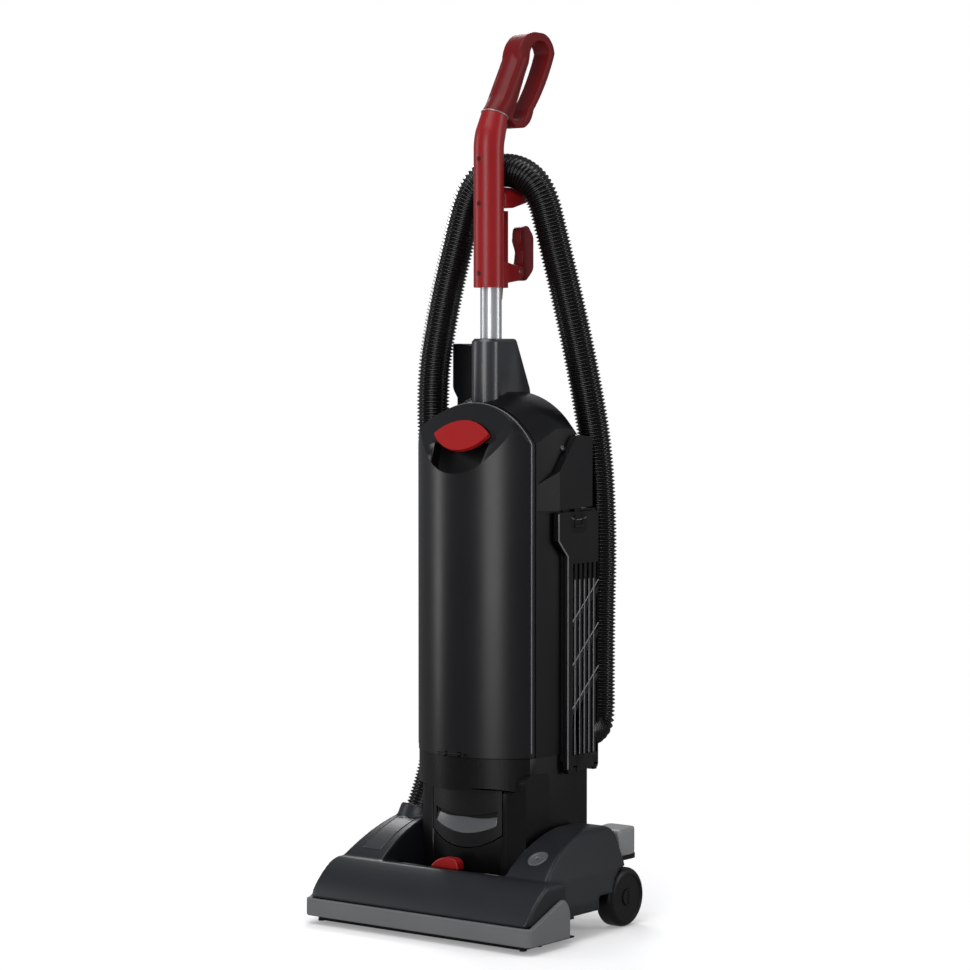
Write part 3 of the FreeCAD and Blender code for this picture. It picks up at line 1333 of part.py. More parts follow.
# Loop grip: thick oval bar that goes on from the stem, and a flat strap that closes the loop behind it
grip_way = V(0, math.sin(math.radians(grip_lean)), math.cos(math.radians(grip_lean)))
grip_start = stem_tip + V(0, grip_shift, 0)
bar_sections = [leaned_oval(stem_tip, stem_lean, tip_half_x, tip_half_y)]
for along, half_x, half_y in [(22, grip_bar_x, grip_bar_y), (92, grip_bar_x, grip_bar_y), (108, 13, 12)]:
    bar_sections.append(leaned_oval(grip_start + grip_way * along, grip_lean, half_x, half_y))
grip_bar = Part.makeLoft(bar_sections, True, True)
strap_thick = 12.0
strap_low = 1080.0
apex_y = 106.0
bar_top = grip_start + grip_way * 90
seam_front = stem_tip - stem_side * (0.5 * tip_half_y)
seam_back = stem_tip + stem_side * (tip_half_y + 1)
strap_side = [
    (seam_front.y, seam_front.z), (bar_top.y - 15, bar_top.z), ("via", apex_y - 34, grip_top - 10),
    (apex_y, grip_top), ("via", grip_back - 9.5, grip_top - 8), (grip_back, grip_top - 27),
    ("via", grip_back - 21.5, grip_top - 70), (grip_back - 49, strap_low + 25),
    ("via", grip_back - 56.5, strap_low + 9.5), (grip_back - 70, strap_low), (grip_back - 89, strap_low),
    (seam_back.y, seam_back.z),
]
strap_hole = [
    (seam_back.y + 3, strap_low + 10), (grip_back - 75, strap_low + 9.5),
    ("via", grip_back - 67, strap_low + 15.5),
    (grip_back - 49 - strap_thick, strap_low + 25), ("via", grip_back - 21.5 - strap_thick, grip_top - 70),
    (grip_back - strap_thick, grip_top - 27), ("via", grip_back - 19, grip_top - 15.5),
    (apex_y + 2, grip_top - strap_thick), ("via", apex_y - 12, grip_top - 16), (apex_y - 22.5, grip_top - 36),
]
strap = prism("yz", strap_side, -strap_half, strap_half).cut(prism("yz", strap_hole, -60, 60))
save(grip_bar.fuse(strap).removeSplitter(), "loop_grip")

# Screws: three in the front of the stem, one in the fairing, the rest in the back of the body
stem_screws = [880.0, 974.0, 1034.0]
back_screws = [(-70, 260), (20, 260), (-78, 440), (40, 440), (-40, 650), (40, 650)]
screw_r = 3.4
screw_sink = 2.0
side_screw_y = 42.0
side_screw_z = 646.0


def screw_head(spot, way):
    head = Part.makeCylinder(screw_r, screw_sink, spot, way)
    across = Part.makeBox(screw_r * 1.4, 1.2, 2, V(-screw_r * 0.7, -0.6, screw_sink - 0.8))
    upright = Part.makeBox(1.2, screw_r * 1.4, 2, V(-0.6, -screw_r * 0.7, screw_sink - 0.8))
    cross = across.fuse(upright)
    cross.Placement = FreeCAD.Placement(spot, FreeCAD.Rotation(V(0, 0, 1), way))
    return head.cut(cross)


body_screws = []
for z in stem_screws:
    spot = V(0, stem_y - stem_half_y + screw_sink + 0.6, z)
    stem_front = stem_front.cut(Part.makeCylinder(screw_r, 20, spot, V(0, -1, 0)))
    body_screws.append(screw_head(spot, V(0, -1, 0)))
body_screws.append(screw_head(V(body_half, side_screw_y, side_screw_z), V(1, 0, 0)))
for x, z in back_screws:
    body_screws.append(screw_head(V(x, body_back, z), V(0, 1, 0)))
save(Part.makeCompound(body_screws), "body_screws")
save(stem_front.removeSplitter(), "stem_front")

# Hook for the cord on the back of the body, gland at the foot of the stem
lower_hook_z = 380.0
lower_hook = [
    (body_back, lower_hook_z), (body_back, lower_hook_z + 60), (body_back + 5, lower_hook_z + 60),
    (body_back + 5, lower_hook_z + 18, 3), (body_back + 30, lower_hook_z + 18, 5),
    (body_back + 30, lower_hook_z - 16, 2), (body_back + 23, lower_hook_z - 16, 2),
    (body_back + 23, lower_hook_z + 9, 3), (body_back + 5, lower_hook_z + 9, 2),
    (body_back + 5, lower_hook_z),
]
save(prism("yz", lower_hook, -12, 12), "lower_cord_hook")
gland_y = tube_y + tube_r + 5
gland = Part.makeCone(3.4, 4.6, 16, V(0, gland_y, stem_low - 16), V(0, 0, 1))
gland = gland.fuse(rod("z", 0, gland_y, 6, stem_low, stem_low + 6))
gland = gland.cut(rod("z", 0, gland_y, 2.4, stem_low - 20, stem_low + 10))
stem_rear = stem_rear.cut(rod("z", 0, gland_y, 6, stem_low - 1, stem_low + 6))
stem_front = stem_front.cut(rod("z", 0, gland_y, 6, stem_low - 1, stem_low + 6))
gland = gland.cut(rod("z", 0, tube_y, tube_r, stem_low - 20, stem_low + 10))
save(gland, "cord_gland")
save(stem_rear.removeSplitter(), "stem_rear")

# Pins of the body: front cover hinge, filter door hinge, cord hook
hinge_pin = rod("x", hinge_y, hinge_z, hinge_pin_r, -hinge_lug_out, hinge_lug_out)
door_pins = []
for y in hinge_lines:
    door_pins.append(rod("y", door_hinge_x, door_hinge_z, door_pin_r, y - 5, y + lug_length + 5))
cord_pin = rod("x", hook_y, hook_z, hook_pin_r, -ear_out - 1, ear_out + 1)
save(Part.makeCompound([hinge_pin, cord_pin] + door_pins), "body_pins")

# Connector that joins the two stretches of hose on the left side
arm_reach = box(connector_x, -body_half, connector_y - 14, connector_y + 14,
                connector_low + 8, connector_high - 8)
connector = rod("z", connector_x, connector_y, hose_r, connector_low, connector_high)
connector = connector.fuse([
    arm_reach, rod("z", connector_x, connector_y, hose_r + 2, connector_low + 4, connector_low + 10),
    rod("z", connector_x, connector_y, hose_r + 2, connector_high - 10, connector_high - 4),
])
connector = connector.cut(rod("z", connector_x, connector_y, hose_bore_r, connector_low - 1,
    connector_high + 1))
save(connector.cut(house_form(0)).removeSplitter(), "hose_connector")

# Crevice tool standing in the recess at the left rear
tool_left = -104.0
tool_flare = 12.0
flare_low = 712.0
flare_high = 732.0
tool_right = recess_right - 2
tool_front = recess_front + 1
tool_back = 96.0
tool_top = 787.0
tool_wall = 2.0


def tool_form(inset):
    flared = tool_left - tool_flare + inset
    plan = [
        (flared, tool_front + inset, 8), (tool_right - inset, tool_front + inset, 8),
        (tool_right - inset, tool_back - inset, 8), (flared, tool_back - inset, 8),
    ]
    slant = [
        (tool_left + inset, recess_low), (tool_right + 1, recess_low), (tool_right + 1, tool_top - 4),
        (flared - 1, tool_top + 2), (flared - 1, flare_high), (tool_left + inset, flare_low),
    ]
    return prism("xy", plan, recess_low, tool_top).common(prism("xz", slant, 50, 120))


tool = tool_form(0).cut(tool_form(tool_wall))
save(tool.removeSplitter(), "crevice_tool")

# Hose. The route is a list of points: straight runs joined by arcs, each as large as its runs allow
foot_route = [V(spigot_top.x, spigot_top.y, spigot_top.z), hose_turn,
    V(connector_x, connector_y, connector_low)]
long_route = [
    V(connector_x, connector_y, connector_high), V(connector_x, connector_y, 455), V(-127, 54, 600),
    V(-131, 49, 735), V(-107, 50, 850), V(-86, 52, 925), V(-64.5, 54.5, 999), V(-30.5, 59.5, 1024),
    V(11.7, 63.5, 1022), V(43.4, 69, 994), V(54, 80, 935), V(67, 97, 850), V(79, 116, 755),
    V(88, 138.5, 640), V(91, 144, 520),
    V(elbow_x, elbow_y, 402), V(elbow_x, elbow_y, elbow_top),
]


def path_pieces(route, name):
    pieces = []
    start = route[0]
    radii = []
    for i in range(1, len(route) - 1):
        back = route[i - 1] - route[i]
        ahead = route[i + 1] - route[i]
        half = (math.pi - back.getAngle(ahead)) / 2
        reach = 0.45 * min(back.Length, ahead.Length)
        radius = reach / math.tan(half)
        radii.append(round(radius))
        enter = route[i] + back.normalize() * reach
        leave = route[i] + ahead.normalize() * reach
        pieces.append(("run", start, enter, (enter - start).Length))
        middle = (back + ahead).normalize()
        centre = route[i] + middle * (radius / math.cos(half))
        pieces.append(("arc", enter, leave, 2 * half * radius, centre, -back, radius))
        start = leave
    pieces.append(("run", start, route[-1], (route[-1] - start).Length))
    length = sum(piece[3] for piece in pieces)
    print(name, "radii", radii, "length", round(length))
    return pieces, length


def path_point(pieces, along):
    for piece in pieces:
        if along <= piece[3] + 0.000001 or piece is pieces[-1]:
            break
        along -= piece[3]
    if piece[0] == "run":
        way = (piece[2] - piece[1]).normalize()
        return piece[1] + way * along, way
    centre, way, radius = piece[4], V(piece[5]), piece[6]
    out = (piece[1] - centre).normalize()
    turn = along / radius
    spot = centre + out * (radius * math.cos(turn)) + way * (radius * math.sin(turn))
    return spot, way * math.cos(turn) - out * math.sin(turn)


def hoop(spot, way, radius):
    side = V(0, 1, 0).cross(way).normalize()
    circle = Part.Circle(spot, way, radius)
    circle.XAxis = side
    return Part.Wire([circle.toShape()])


def ribbed_hose(route, ribs, name):
    pieces, length = path_pieces(route, name)
    pitch = length / ribs
    outer = []
    inner = []
    for i in range(ribs):
        stations = [(0.0, hose_root_r), (0.30, hose_root_r), (0.45, hose_r), (0.85, hose_r)]
        for share, radius in stations:
            spot, way = path_point(pieces, (i + share) * pitch)
            outer.append(hoop(spot, way, radius))
            if share == 0:
                inner.append(hoop(spot, way, hose_bore_r))
    spot, way = path_point(pieces, length)
    outer.append(hoop(spot, way, hose_root_r))
    inner.append(hoop(spot, way, hose_bore_r))
    hose = Part.makeLoft(outer, True, True).cut(Part.makeLoft(inner, True, True))
    section = math.pi * ((0.3 * hose_root_r ** 2 + 0.4 * hose_r ** 2
                          + 0.3 * (hose_root_r ** 2 + hose_root_r * hose_r + hose_r ** 2) / 3) - hose_bore_r ** 2)
    print(name, "volume over section times length", round(abs(hose.Volume) / (section * length), 4))
    return hose


save(ribbed_hose(foot_route, foot_ribs, "foot_hose"), "foot_hose")
save(ribbed_hose(long_route, long_ribs, "hose_long"), "hose_long")

# Cuff round the end of the hose at the elbow
cuff_r = hose_r + touch_gap
cuff_high = 26.0
cuff = ring("z", elbow_x, elbow_y, cuff_r + cuff_wall, cuff_r, elbow_top - 8, elbow_top + cuff_high)
cuff = cuff.fuse(ring("z", elbow_x, elbow_y, cuff_r + 1, hose_r, elbow_top - 8, elbow_top))
save(cuff.removeSplitter(), "hose_cuff")
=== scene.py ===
import json
import math

import bmesh
import bpy
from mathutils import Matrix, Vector
from mathutils.bvhtree import BVHTree


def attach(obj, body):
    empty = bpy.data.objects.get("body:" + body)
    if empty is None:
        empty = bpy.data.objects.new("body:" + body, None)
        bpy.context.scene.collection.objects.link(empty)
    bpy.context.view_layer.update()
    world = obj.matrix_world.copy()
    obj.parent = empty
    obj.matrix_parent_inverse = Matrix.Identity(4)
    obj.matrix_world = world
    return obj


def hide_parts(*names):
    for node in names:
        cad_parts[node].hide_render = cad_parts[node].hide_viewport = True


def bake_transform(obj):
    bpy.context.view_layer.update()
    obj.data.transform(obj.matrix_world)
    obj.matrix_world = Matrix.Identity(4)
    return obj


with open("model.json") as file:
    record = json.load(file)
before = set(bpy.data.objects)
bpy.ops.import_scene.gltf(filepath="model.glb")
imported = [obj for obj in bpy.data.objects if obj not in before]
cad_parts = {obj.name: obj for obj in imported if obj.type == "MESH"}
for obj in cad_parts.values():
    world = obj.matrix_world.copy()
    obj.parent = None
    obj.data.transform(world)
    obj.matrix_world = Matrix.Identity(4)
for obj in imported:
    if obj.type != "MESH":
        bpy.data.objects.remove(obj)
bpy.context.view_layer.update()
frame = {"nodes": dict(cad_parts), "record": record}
scene = bpy.context.scene
bodyOf = {}
for bodyName, nodeNames in frame["record"]["behaviour"]["bodies"].items():
    for nodeName in nodeNames:
        bodyOf[nodeName] = bodyName
slotOf = {entry["node"]: entry["material_slot"] for entry in frame["record"]["subparts"]}

# The drawing line of part.py lies this far behind the frame's origin
MIDDLE_Y = 0.00635
MM = 0.001


def at(x, y, z):
    return Vector((x * MM, y * MM - MIDDLE_Y, z * MM))


def drawn(spot):
    return spot.x / MM, (spot.y + MIDDLE_Y) / MM, spot.z / MM


# Objects and meshes

def link(name, data):
    piece = bpy.data.objects.new(name, data)
    scene.collection.objects.link(piece)
    return piece


def meshOf(source, name):
    bpy.context.view_layer.update()
    mesh = bpy.data.meshes.new_from_object(source.evaluated_get(bpy.context.evaluated_depsgraph_get()))
    mesh.name = name
    return mesh


def baked(piece):
    name = piece.name
    mesh = meshOf(piece, name)
    bpy.data.objects.remove(piece)
    return link(name, mesh)


def thickened(name, mesh, thick, offset=-1.0):
    piece = link(name, mesh)
    layer = piece.modifiers.new("thick", "SOLIDIFY")
    layer.thickness = thick
    layer.offset = offset
    return baked(piece)


def rounded(mesh):
    for face in mesh.polygons:
        face.use_smooth = True


def sheetOf(name, rows, material):
    count = len(rows[0])
    faces = []
    for i in range(len(rows) - 1):
        for k in range(count - 1):
            first, above = i * count + k, (i + 1) * count + k
            faces.append((first, first + 1, above + 1, above))
    mesh = bpy.data.meshes.new(name)
    mesh.from_pydata([spot for row in rows for spot in row], [], faces)
    mesh.materials.append(material)
    rounded(mesh)
    return mesh


def placed(piece, body):
    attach(piece, body)
    return piece


def settled(piece, node):
    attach(piece, bodyOf[node])
    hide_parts(node)
    return piece


# Node trees: an input is a plain value or the socket of another node

def feed(tree, node, inputs):
    for socket, value in inputs.items():
        if isinstance(value, tuple) and isinstance(value[0], bpy.types.Node):
            tree.links.new(value[0].outputs[value[1]], node.inputs[socket])
        else:
            node.inputs[socket].default_value = value
    return node


def newNode(tree, kind, inputs):
    return feed(tree, tree.nodes.new(kind), inputs)


def mathNode(tree, kind, *values):
    node = tree.nodes.new("ShaderNodeMath")
    node.operation = kind
    return feed(tree, node, dict(enumerate(values)))


def colourMix(tree, share, first, second):
    node = tree.nodes.new("ShaderNodeMix")
    node.data_type = "RGBA"
    return feed(tree, node, {"Factor": share, "A": first, "B": second})


def shaderMix(tree, share, first, second):
    return newNode(tree, "ShaderNodeMixShader", {"Fac": share, 1: first, 2: second})


# Camera: fitted to the photo with a pinhole model

view = {
    "sensor": 36.0,
    "lens": 107.63,
    "clipEnd": 50.0,
    "spot": (2.3863, -3.1093 - MIDDLE_Y, 0.7595),
    "tilt": 87.6,
    "turn": 37.5,
}


def makeCamera():
    data = bpy.data.cameras.new("camera")
    data.sensor_width = view["sensor"]
    data.lens = view["lens"]
    data.clip_end = view["clipEnd"]
    camera = link("camera", data)
    camera.location = view["spot"]
    camera.rotation_euler = (math.radians(view["tilt"]), 0.0, math.radians(view["turn"]))
    scene.camera = camera


# Studio: area lamps that all look at the middle of the machine, and a pale world

studio = {
    "lampAim": (0, 0, 0.55),
    "worldTint": (0.90, 0.94, 1.0, 1),
    "worldGlow": 0.17,
    "worldGloss": 0.06,
    "floorHalf": 8.0,
    "floorGrey": (0.9, 0.9, 0.9, 1),
    "floorRough": 0.9,
    "floorGloss": 0.1,
    "floorGlow": 0.36,
    "floorMirrored": 0.16,
    "floorNear": 0.30,
    "floorFar": 0.80,
    "shadowSamples": 8,
    "shadowReach": 0.11,
    "shadowFrom": 0.25,
    "shadowTo": 0.98,
    "shadowFloor": 0.72,
}
lamps = {
    "key": {"spot": (0.95, -2.65, 1.15), "width": 1.15, "height": 2.5, "power": 34},
    "left": {"spot": (-2.5, -1.3, 1.05), "width": 0.4, "height": 2.1, "power": 14},
    "right": {"spot": (2.3, 1.35, 1.2), "width": 0.4, "height": 2.2, "power": 16},
    "top": {"spot": (0.2, -0.6, 3.0), "width": 1.6, "height": 1.6, "power": 30},
    "back": {"spot": (-1.5, 1.5, 2.2), "width": 0.9, "height": 0.9, "power": 26},
}
WHITE = (1, 1, 1, 1)
BLACK = (0, 0, 0, 1)


def makeLamp(name, spot, width, height, power):
    data = bpy.data.lights.new(name, "AREA")
    data.shape = "RECTANGLE"
    data.size = width
    data.size_y = height
    data.energy = power
    lamp = link(name, data)
    lamp.location = spot
    way = (Vector(studio["lampAim"]) - Vector(spot)).normalized()
    lamp.rotation_euler = way.to_track_quat("-Z", "Y").to_euler()
    lamp.visible_camera = False


def makeLight():
    world = bpy.data.worlds.new("studio")
    scene.world = world
    world.use_nodes = True
    tree = world.node_tree
    tree.nodes.clear()
    path = tree.nodes.new("ShaderNodeLightPath")
    gloss = mathNode(tree, "MULTIPLY", (path, "Is Glossy Ray"), studio["worldGloss"])
    through = mathNode(tree, "MAXIMUM", (gloss, "Value"), (path, "Is Transmission Ray"))
    whole = mathNode(tree, "MAXIMUM", (through, "Value"), (path, "Is Camera Ray"))
    lit = newNode(tree, "ShaderNodeBackground", {"Color": studio["worldTint"], "Strength": studio["worldGlow"]})
    seen = newNode(tree, "ShaderNodeBackground", {"Color": WHITE, "Strength": 1.0})
    mix = shaderMix(tree, (whole, "Value"), (lit, "Background"), (seen, "Background"))
    newNode(tree, "ShaderNodeOutputWorld", {"Surface": (mix, "Shader")})
    for name, lamp in lamps.items():
        makeLamp(name, **lamp)


# Floor: white to the camera further out, with a soft shadow near the machine, and dim in its reflections

def makeFloor():
    half = studio["floorHalf"]
    mesh = bpy.data.meshes.new("floor")
    mesh.from_pydata([(-half, -half, 0), (half, -half, 0), (half, half, 0), (-half, half, 0)], [], [(0, 1, 2, 3)])
    floor = link("floor", mesh)
    material = bpy.data.materials.new("floor")
    material.use_nodes = True
    tree = material.node_tree
    path = tree.nodes.new("ShaderNodeLightPath")
    crowd = newNode(tree, "ShaderNodeAmbientOcclusion", {"Distance": studio["shadowReach"]})
    crowd.samples = studio["shadowSamples"]
    depth = newNode(tree, "ShaderNodeMapRange", {
        "Value": (crowd, "AO"), "From Min": studio["shadowFrom"], "From Max": studio["shadowTo"],
        "To Min": studio["shadowFloor"],
    })
    shade = colourMix(tree, (depth, "Result"), BLACK, studio["floorGrey"])
    seen = mathNode(tree, "MAXIMUM", (path, "Is Camera Ray"), (path, "Is Glossy Ray"))
    glow = mathNode(tree, "MULTIPLY", (seen, "Value"), studio["floorGlow"])
    dim = mathNode(tree, "MULTIPLY", (glow, "Value"), (depth, "Result"))
    near = feed(tree, tree.nodes["Principled BSDF"], {
        "Base Color": (shade, "Result"), "Roughness": studio["floorRough"],
        "Specular IOR Level": studio["floorGloss"], "Emission Color": WHITE, "Emission Strength": (dim, "Value"),
    })
    far = newNode(tree, "ShaderNodeEmission", {"Color": WHITE})
    place = tree.nodes.new("ShaderNodeTexCoord")
    distance = tree.nodes.new("ShaderNodeVectorMath")
    distance.operation = "LENGTH"
    feed(tree, distance, {0: (place, "Object")})
    fade = tree.nodes.new("ShaderNodeMapRange")
    fade.interpolation_type = "SMOOTHSTEP"
    feed(tree, fade, {
        "Value": (distance, "Value"), "From Min": studio["floorNear"], "From Max": studio["floorFar"],
    })
    share = mathNode(tree, "MULTIPLY", (fade, "Result"), (path, "Is Camera Ray"))
    direct = shaderMix(tree, (share, "Value"), (near, "BSDF"), (far, "Emission"))
    mirrored = newNode(tree, "ShaderNodeEmission", {"Strength": studio["floorMirrored"]})
    whole = shaderMix(tree, (path, "Is Glossy Ray"), (direct, "Shader"), (mirrored, "Emission"))
    feed(tree, tree.nodes["Material Output"], {"Surface": (whole, "Shader")})
    mesh.materials.append(material)


# Materials: every one has a grain in its bump and a slow change in its tint and roughness

grainLook = {
    "slowScale": 9.0,
    "slowDetail": 5.0,
    "fineDetail": 2.0,
    "smoother": 0.05,
    "rougher": 0.06,
    "bumpDeep": 0.0004,
}


def plastic(name, colour, rough, grain=900.0, depth=0.1, gloss=0.5, fade=0.12, metallic=0.0):
    material = bpy.data.materials.new(name)
    material.use_nodes = True
    tree = material.node_tree
    place = tree.nodes.new("ShaderNodeTexCoord")
    slow = newNode(tree, "ShaderNodeTexNoise", {
        "Vector": (place, "Object"), "Scale": grainLook["slowScale"], "Detail": grainLook["slowDetail"],
    })
    fine = newNode(tree, "ShaderNodeTexNoise", {
        "Vector": (place, "Object"), "Scale": grain, "Detail": grainLook["fineDetail"],
    })
    darker = (*[part * (1 - fade) for part in colour], 1)
    lighter = (*[min(1.0, part * (1 + fade)) for part in colour], 1)
    tint = colourMix(tree, (slow, "Fac"), darker, lighter)
    spread = newNode(tree, "ShaderNodeMapRange", {
        "Value": (slow, "Fac"), "To Min": rough - grainLook["smoother"], "To Max": rough + grainLook["rougher"],
    })
    bump = newNode(tree, "ShaderNodeBump", {
        "Height": (fine, "Fac"), "Strength": depth, "Distance": grainLook["bumpDeep"],
    })
    feed(tree, tree.nodes["Principled BSDF"], {
        "Base Color": (tint, "Result"), "Roughness": (spread, "Result"), "Normal": (bump, "Normal"),
        "Metallic": metallic, "Specular IOR Level": gloss,
    })
    return material


looks = {
    "black_casing": {"colour": (0.0028, 0.0031, 0.0036), "rough": 0.32, "gloss": 0.33, "depth": 0.06},
    "hood_casing": {"colour": (0.0125, 0.0150, 0.0182), "rough": 0.36, "gloss": 0.42, "depth": 0.06},
    "dark_cover": {"colour": (0.0052, 0.0056, 0.0064), "rough": 0.31, "gloss": 0.48, "depth": 0.05},
    "black_gloss": {"colour": (0.017, 0.0190, 0.0235), "rough": 0.36, "depth": 0.02, "gloss": 1.0},
    "grey_trim": {"colour": (0.150, 0.156, 0.160), "rough": 0.5, "depth": 0.2, "gloss": 0.35},
    "red_stem": {"colour": (0.290, 0.0080, 0.0105), "rough": 0.33, "depth": 0.08, "gloss": 0.4},
    "red_grip": {"colour": (0.150, 0.0040, 0.0055), "rough": 0.42, "depth": 0.2, "gloss": 0.22},
    "red_button": {"colour": (0.34, 0.0080, 0.0090), "rough": 0.30, "depth": 0.04, "gloss": 0.4},
    "black_hose": {"colour": (0.0042, 0.0042, 0.0046), "rough": 0.24, "depth": 0.05, "gloss": 0.6},
    "black_rubber": {"colour": (0.014, 0.014, 0.014), "rough": 0.7, "depth": 0.3},
    "bright_tube": {"colour": (0.62, 0.63, 0.65), "rough": 0.34, "depth": 0.01, "metallic": 0.75, "fade": 0.04},
    "steel": {"colour": (0.4, 0.4, 0.42), "rough": 0.3, "depth": 0.03, "metallic": 1.0},
    "alloy": {"colour": (0.5, 0.51, 0.53), "rough": 0.38, "depth": 0.05, "metallic": 1.0},
    "wheel_plastic": {"colour": (0.0062, 0.0062, 0.0068), "rough": 0.40, "gloss": 0.32},
    "bristle": {"colour": (0.012, 0.012, 0.012), "rough": 0.5},
    # The rim bead's light grey is a painted highlight on the cover's rim
    "cover_rim_highlight": {"colour": (0.120, 0.125, 0.135), "rough": 0.24, "depth": 0.02, "gloss": 0.6},
    "seam_silver": {"colour": (0.42, 0.36, 0.36), "rough": 0.35, "depth": 0.02, "metallic": 0.6},
    # This black with little gloss is painted shade in hollows, slots and recesses, and the door latch's own black
    "black_and_painted_shade": {"colour": (0.0035, 0.0035, 0.004), "rough": 0.5, "gloss": 0.2},
    "label_bare": {"colour": (0.034, 0.037, 0.042), "rough": 0.30, "depth": 0.02, "gloss": 0.5},
    "badge_ring": {"colour": (0.10, 0.105, 0.11), "rough": 0.35, "depth": 0.05, "gloss": 0.4},
    # This light grey is a painted highlight on the side door's edge, grille bars and latch lip
    "door_painted_highlight": {"colour": (0.150, 0.153, 0.156), "rough": 0.28, "depth": 0.02, "gloss": 0.6},
    "pedal_grey": {"colour": (0.245, 0.250, 0.255), "rough": 0.42, "depth": 0.15, "gloss": 0.4},
    "mark_print": {"colour": (0.30, 0.31, 0.32), "rough": 0.5, "depth": 0.05, "gloss": 0.3},
    # The finger band's light grey is a painted highlight
    "band_painted_light": {"colour": (0.110, 0.113, 0.120), "rough": 0.26, "depth": 0.03, "gloss": 0.5},
    "stem_screw": {"colour": (0.075, 0.010, 0.012), "rough": 0.4, "depth": 0.05, "gloss": 0.4},
    "bag_paper": {"colour": (0.55, 0.47, 0.34), "rough": 0.85, "grain": 300.0, "depth": 0.4},
    "filter_paper": {"colour": (0.7, 0.7, 0.66), "rough": 0.9, "grain": 400.0, "depth": 0.4},
}
materials = {name: plastic(name, **look) for name, look in looks.items()}


# Pieces that keep their CAD shape: a welded copy with rounded edges. A drum is shaded as the cylinder it is

edges = {
    "weld": 0.000002,
    "flat": 0.04,
    "angle": 34.0,
    "drumUpright": 0.02,
    "drumNear": 0.0004,
    "drumFacing": 0.95,
}


def welded(node):
    mesh = frame["nodes"][node].data.copy()
    build = bmesh.new()
    build.from_mesh(mesh)
    bmesh.ops.remove_doubles(build, verts=build.verts, dist=edges["weld"])
    bmesh.ops.dissolve_limit(build, angle_limit=math.radians(edges["flat"]), verts=build.verts, edges=build.edges)
    build.to_mesh(mesh)
    build.free()
    mesh.materials.clear()
    return mesh


def smoothed(mesh, angle):
    rounded(mesh)
    mesh.set_sharp_from_angle(angle=math.radians(angle))


def painted(mesh, zones):
    for material, test in zones:
        index = len(mesh.materials)
        mesh.materials.append(material)
        for face in mesh.polygons:
            if test(face.center, face.normal):
                face.material_index = index


def drumShaded(mesh, centre, radius):
    normals = [Vector(corner.vector) for corner in mesh.corner_normals]
    for face in mesh.polygons:
        if abs(face.normal.z) > edges["drumUpright"]:
            continue
        for k in face.loop_indices:
            spot = mesh.vertices[mesh.loops[k].vertex_index].co
            away = Vector((spot.x - centre.x, spot.y - centre.y, 0))
            near = abs(away.length - radius) < edges["drumNear"]
            if near and away.normalized().dot(face.normal) > edges["drumFacing"]:
                normals[k] = away.normalized()
    mesh.normals_split_custom_set([tuple(normal) for normal in normals])


def dressed(node, bevel=0.0006, material=None, zones=(), segments=2, drum=None, highlightBevel=None):
    mesh = welded(node)
    mesh.materials.append(material or materials[slotOf[node]])
    smoothed(mesh, edges["angle"])
    painted(mesh, zones)
    piece = link(node + "_skin", mesh)
    edge = piece.modifiers.new("edge", "BEVEL")
    edge.width = bevel
    edge.segments = segments
    edge.limit_method = "ANGLE"
    edge.angle_limit = math.radians(edges["angle"])
    edge.harden_normals = True
    edge.miter_outer = "MITER_ARC"
    # A bevel material, when given, is a painted highlight on the bevelled edges
    if highlightBevel:
        mesh.materials.append(highlightBevel)
        edge.material = len(mesh.materials) - 1
    if drum:
        piece = baked(piece)
        drumShaded(piece.data, *drum)
    return settled(piece, node)


# Pieces that are softer than their CAD shape: a fine voxel form, eased in so many rounds

EASE = 0.5
mouldings = {
    "loop_grip": {"voxel": 0.0013, "rounds": 14},
    "release_pedal": {"voxel": 0.0011, "rounds": 40, "material": materials["pedal_grey"]},
    "cord_hook": {"voxel": 0.0010, "rounds": 22},
    "hose_hook": {"voxel": 0.0009, "rounds": 8},
    "height_slider": {"voxel": 0.0008, "rounds": 8},
}
hoodMoulding = {"voxel": 0.0019, "rounds": 9, "material": materials["hood_casing"]}


def moulded(node, voxel, rounds, material=None):
    piece = link(node + "_moulded", welded(node))
    remesh = piece.modifiers.new("voxel", "REMESH")
    remesh.mode = "VOXEL"
    remesh.voxel_size = voxel
    ease = piece.modifiers.new("ease", "SMOOTH")
    ease.factor = EASE
    ease.iterations = rounds
    piece = baked(piece)
    piece.data.materials.clear()
    piece.data.materials.append(material or materials[slotOf[node]])
    rounded(piece.data)
    return settled(piece, node)


# Hoses: NURBS routes through the drawing's points, ribbed by a node tree

longRoute = [
    at(-124, 64, 350), at(-124, 64, 455), at(-127, 54, 600), at(-131, 49, 735), at(-107, 50, 850),
    at(-86, 52, 925), at(-64.5, 54.5, 999), at(-30.5, 59.5, 1024), at(11.7, 63.5, 1022), at(43.4, 69, 994),
    at(54, 80, 935), at(67, 97, 850), at(79, 116, 755), at(88, 138.5, 640), at(91, 144, 520), at(88, 143, 402),
    at(88, 143, 290),
]
footRoute = [at(-132, 26, 137), at(-124, 64, 216), at(-124, 64, 300)]
elbowRoute = [
    at(88, 143, 300), at(88, 143, 287), at(88, 141, 268), at(88, 129, 259), at(88, 113, 257), at(88, 104, 257),
]
hose = {
    "crest": 0.0229,
    "elbowCrest": 0.0231,
    "root": 0.0192,
    "pitch": 0.0050,
    "ringsInRib": 6,
    "around": 36,
    "valley": 0.42,
    "ridge": 0.04,
    "order": 3,
    "steps": 24,
}


def routeCurve(name, points):
    data = bpy.data.curves.new(name, "CURVE")
    data.dimensions = "3D"
    spline = data.splines.new("NURBS")
    spline.points.add(len(points) - 1)
    for spot, point in zip(points, spline.points):
        point.co = (*spot, 1.0)
    spline.order_u = hose["order"]
    spline.use_endpoint_u = True
    spline.resolution_u = hose["steps"]
    return link(name, data)


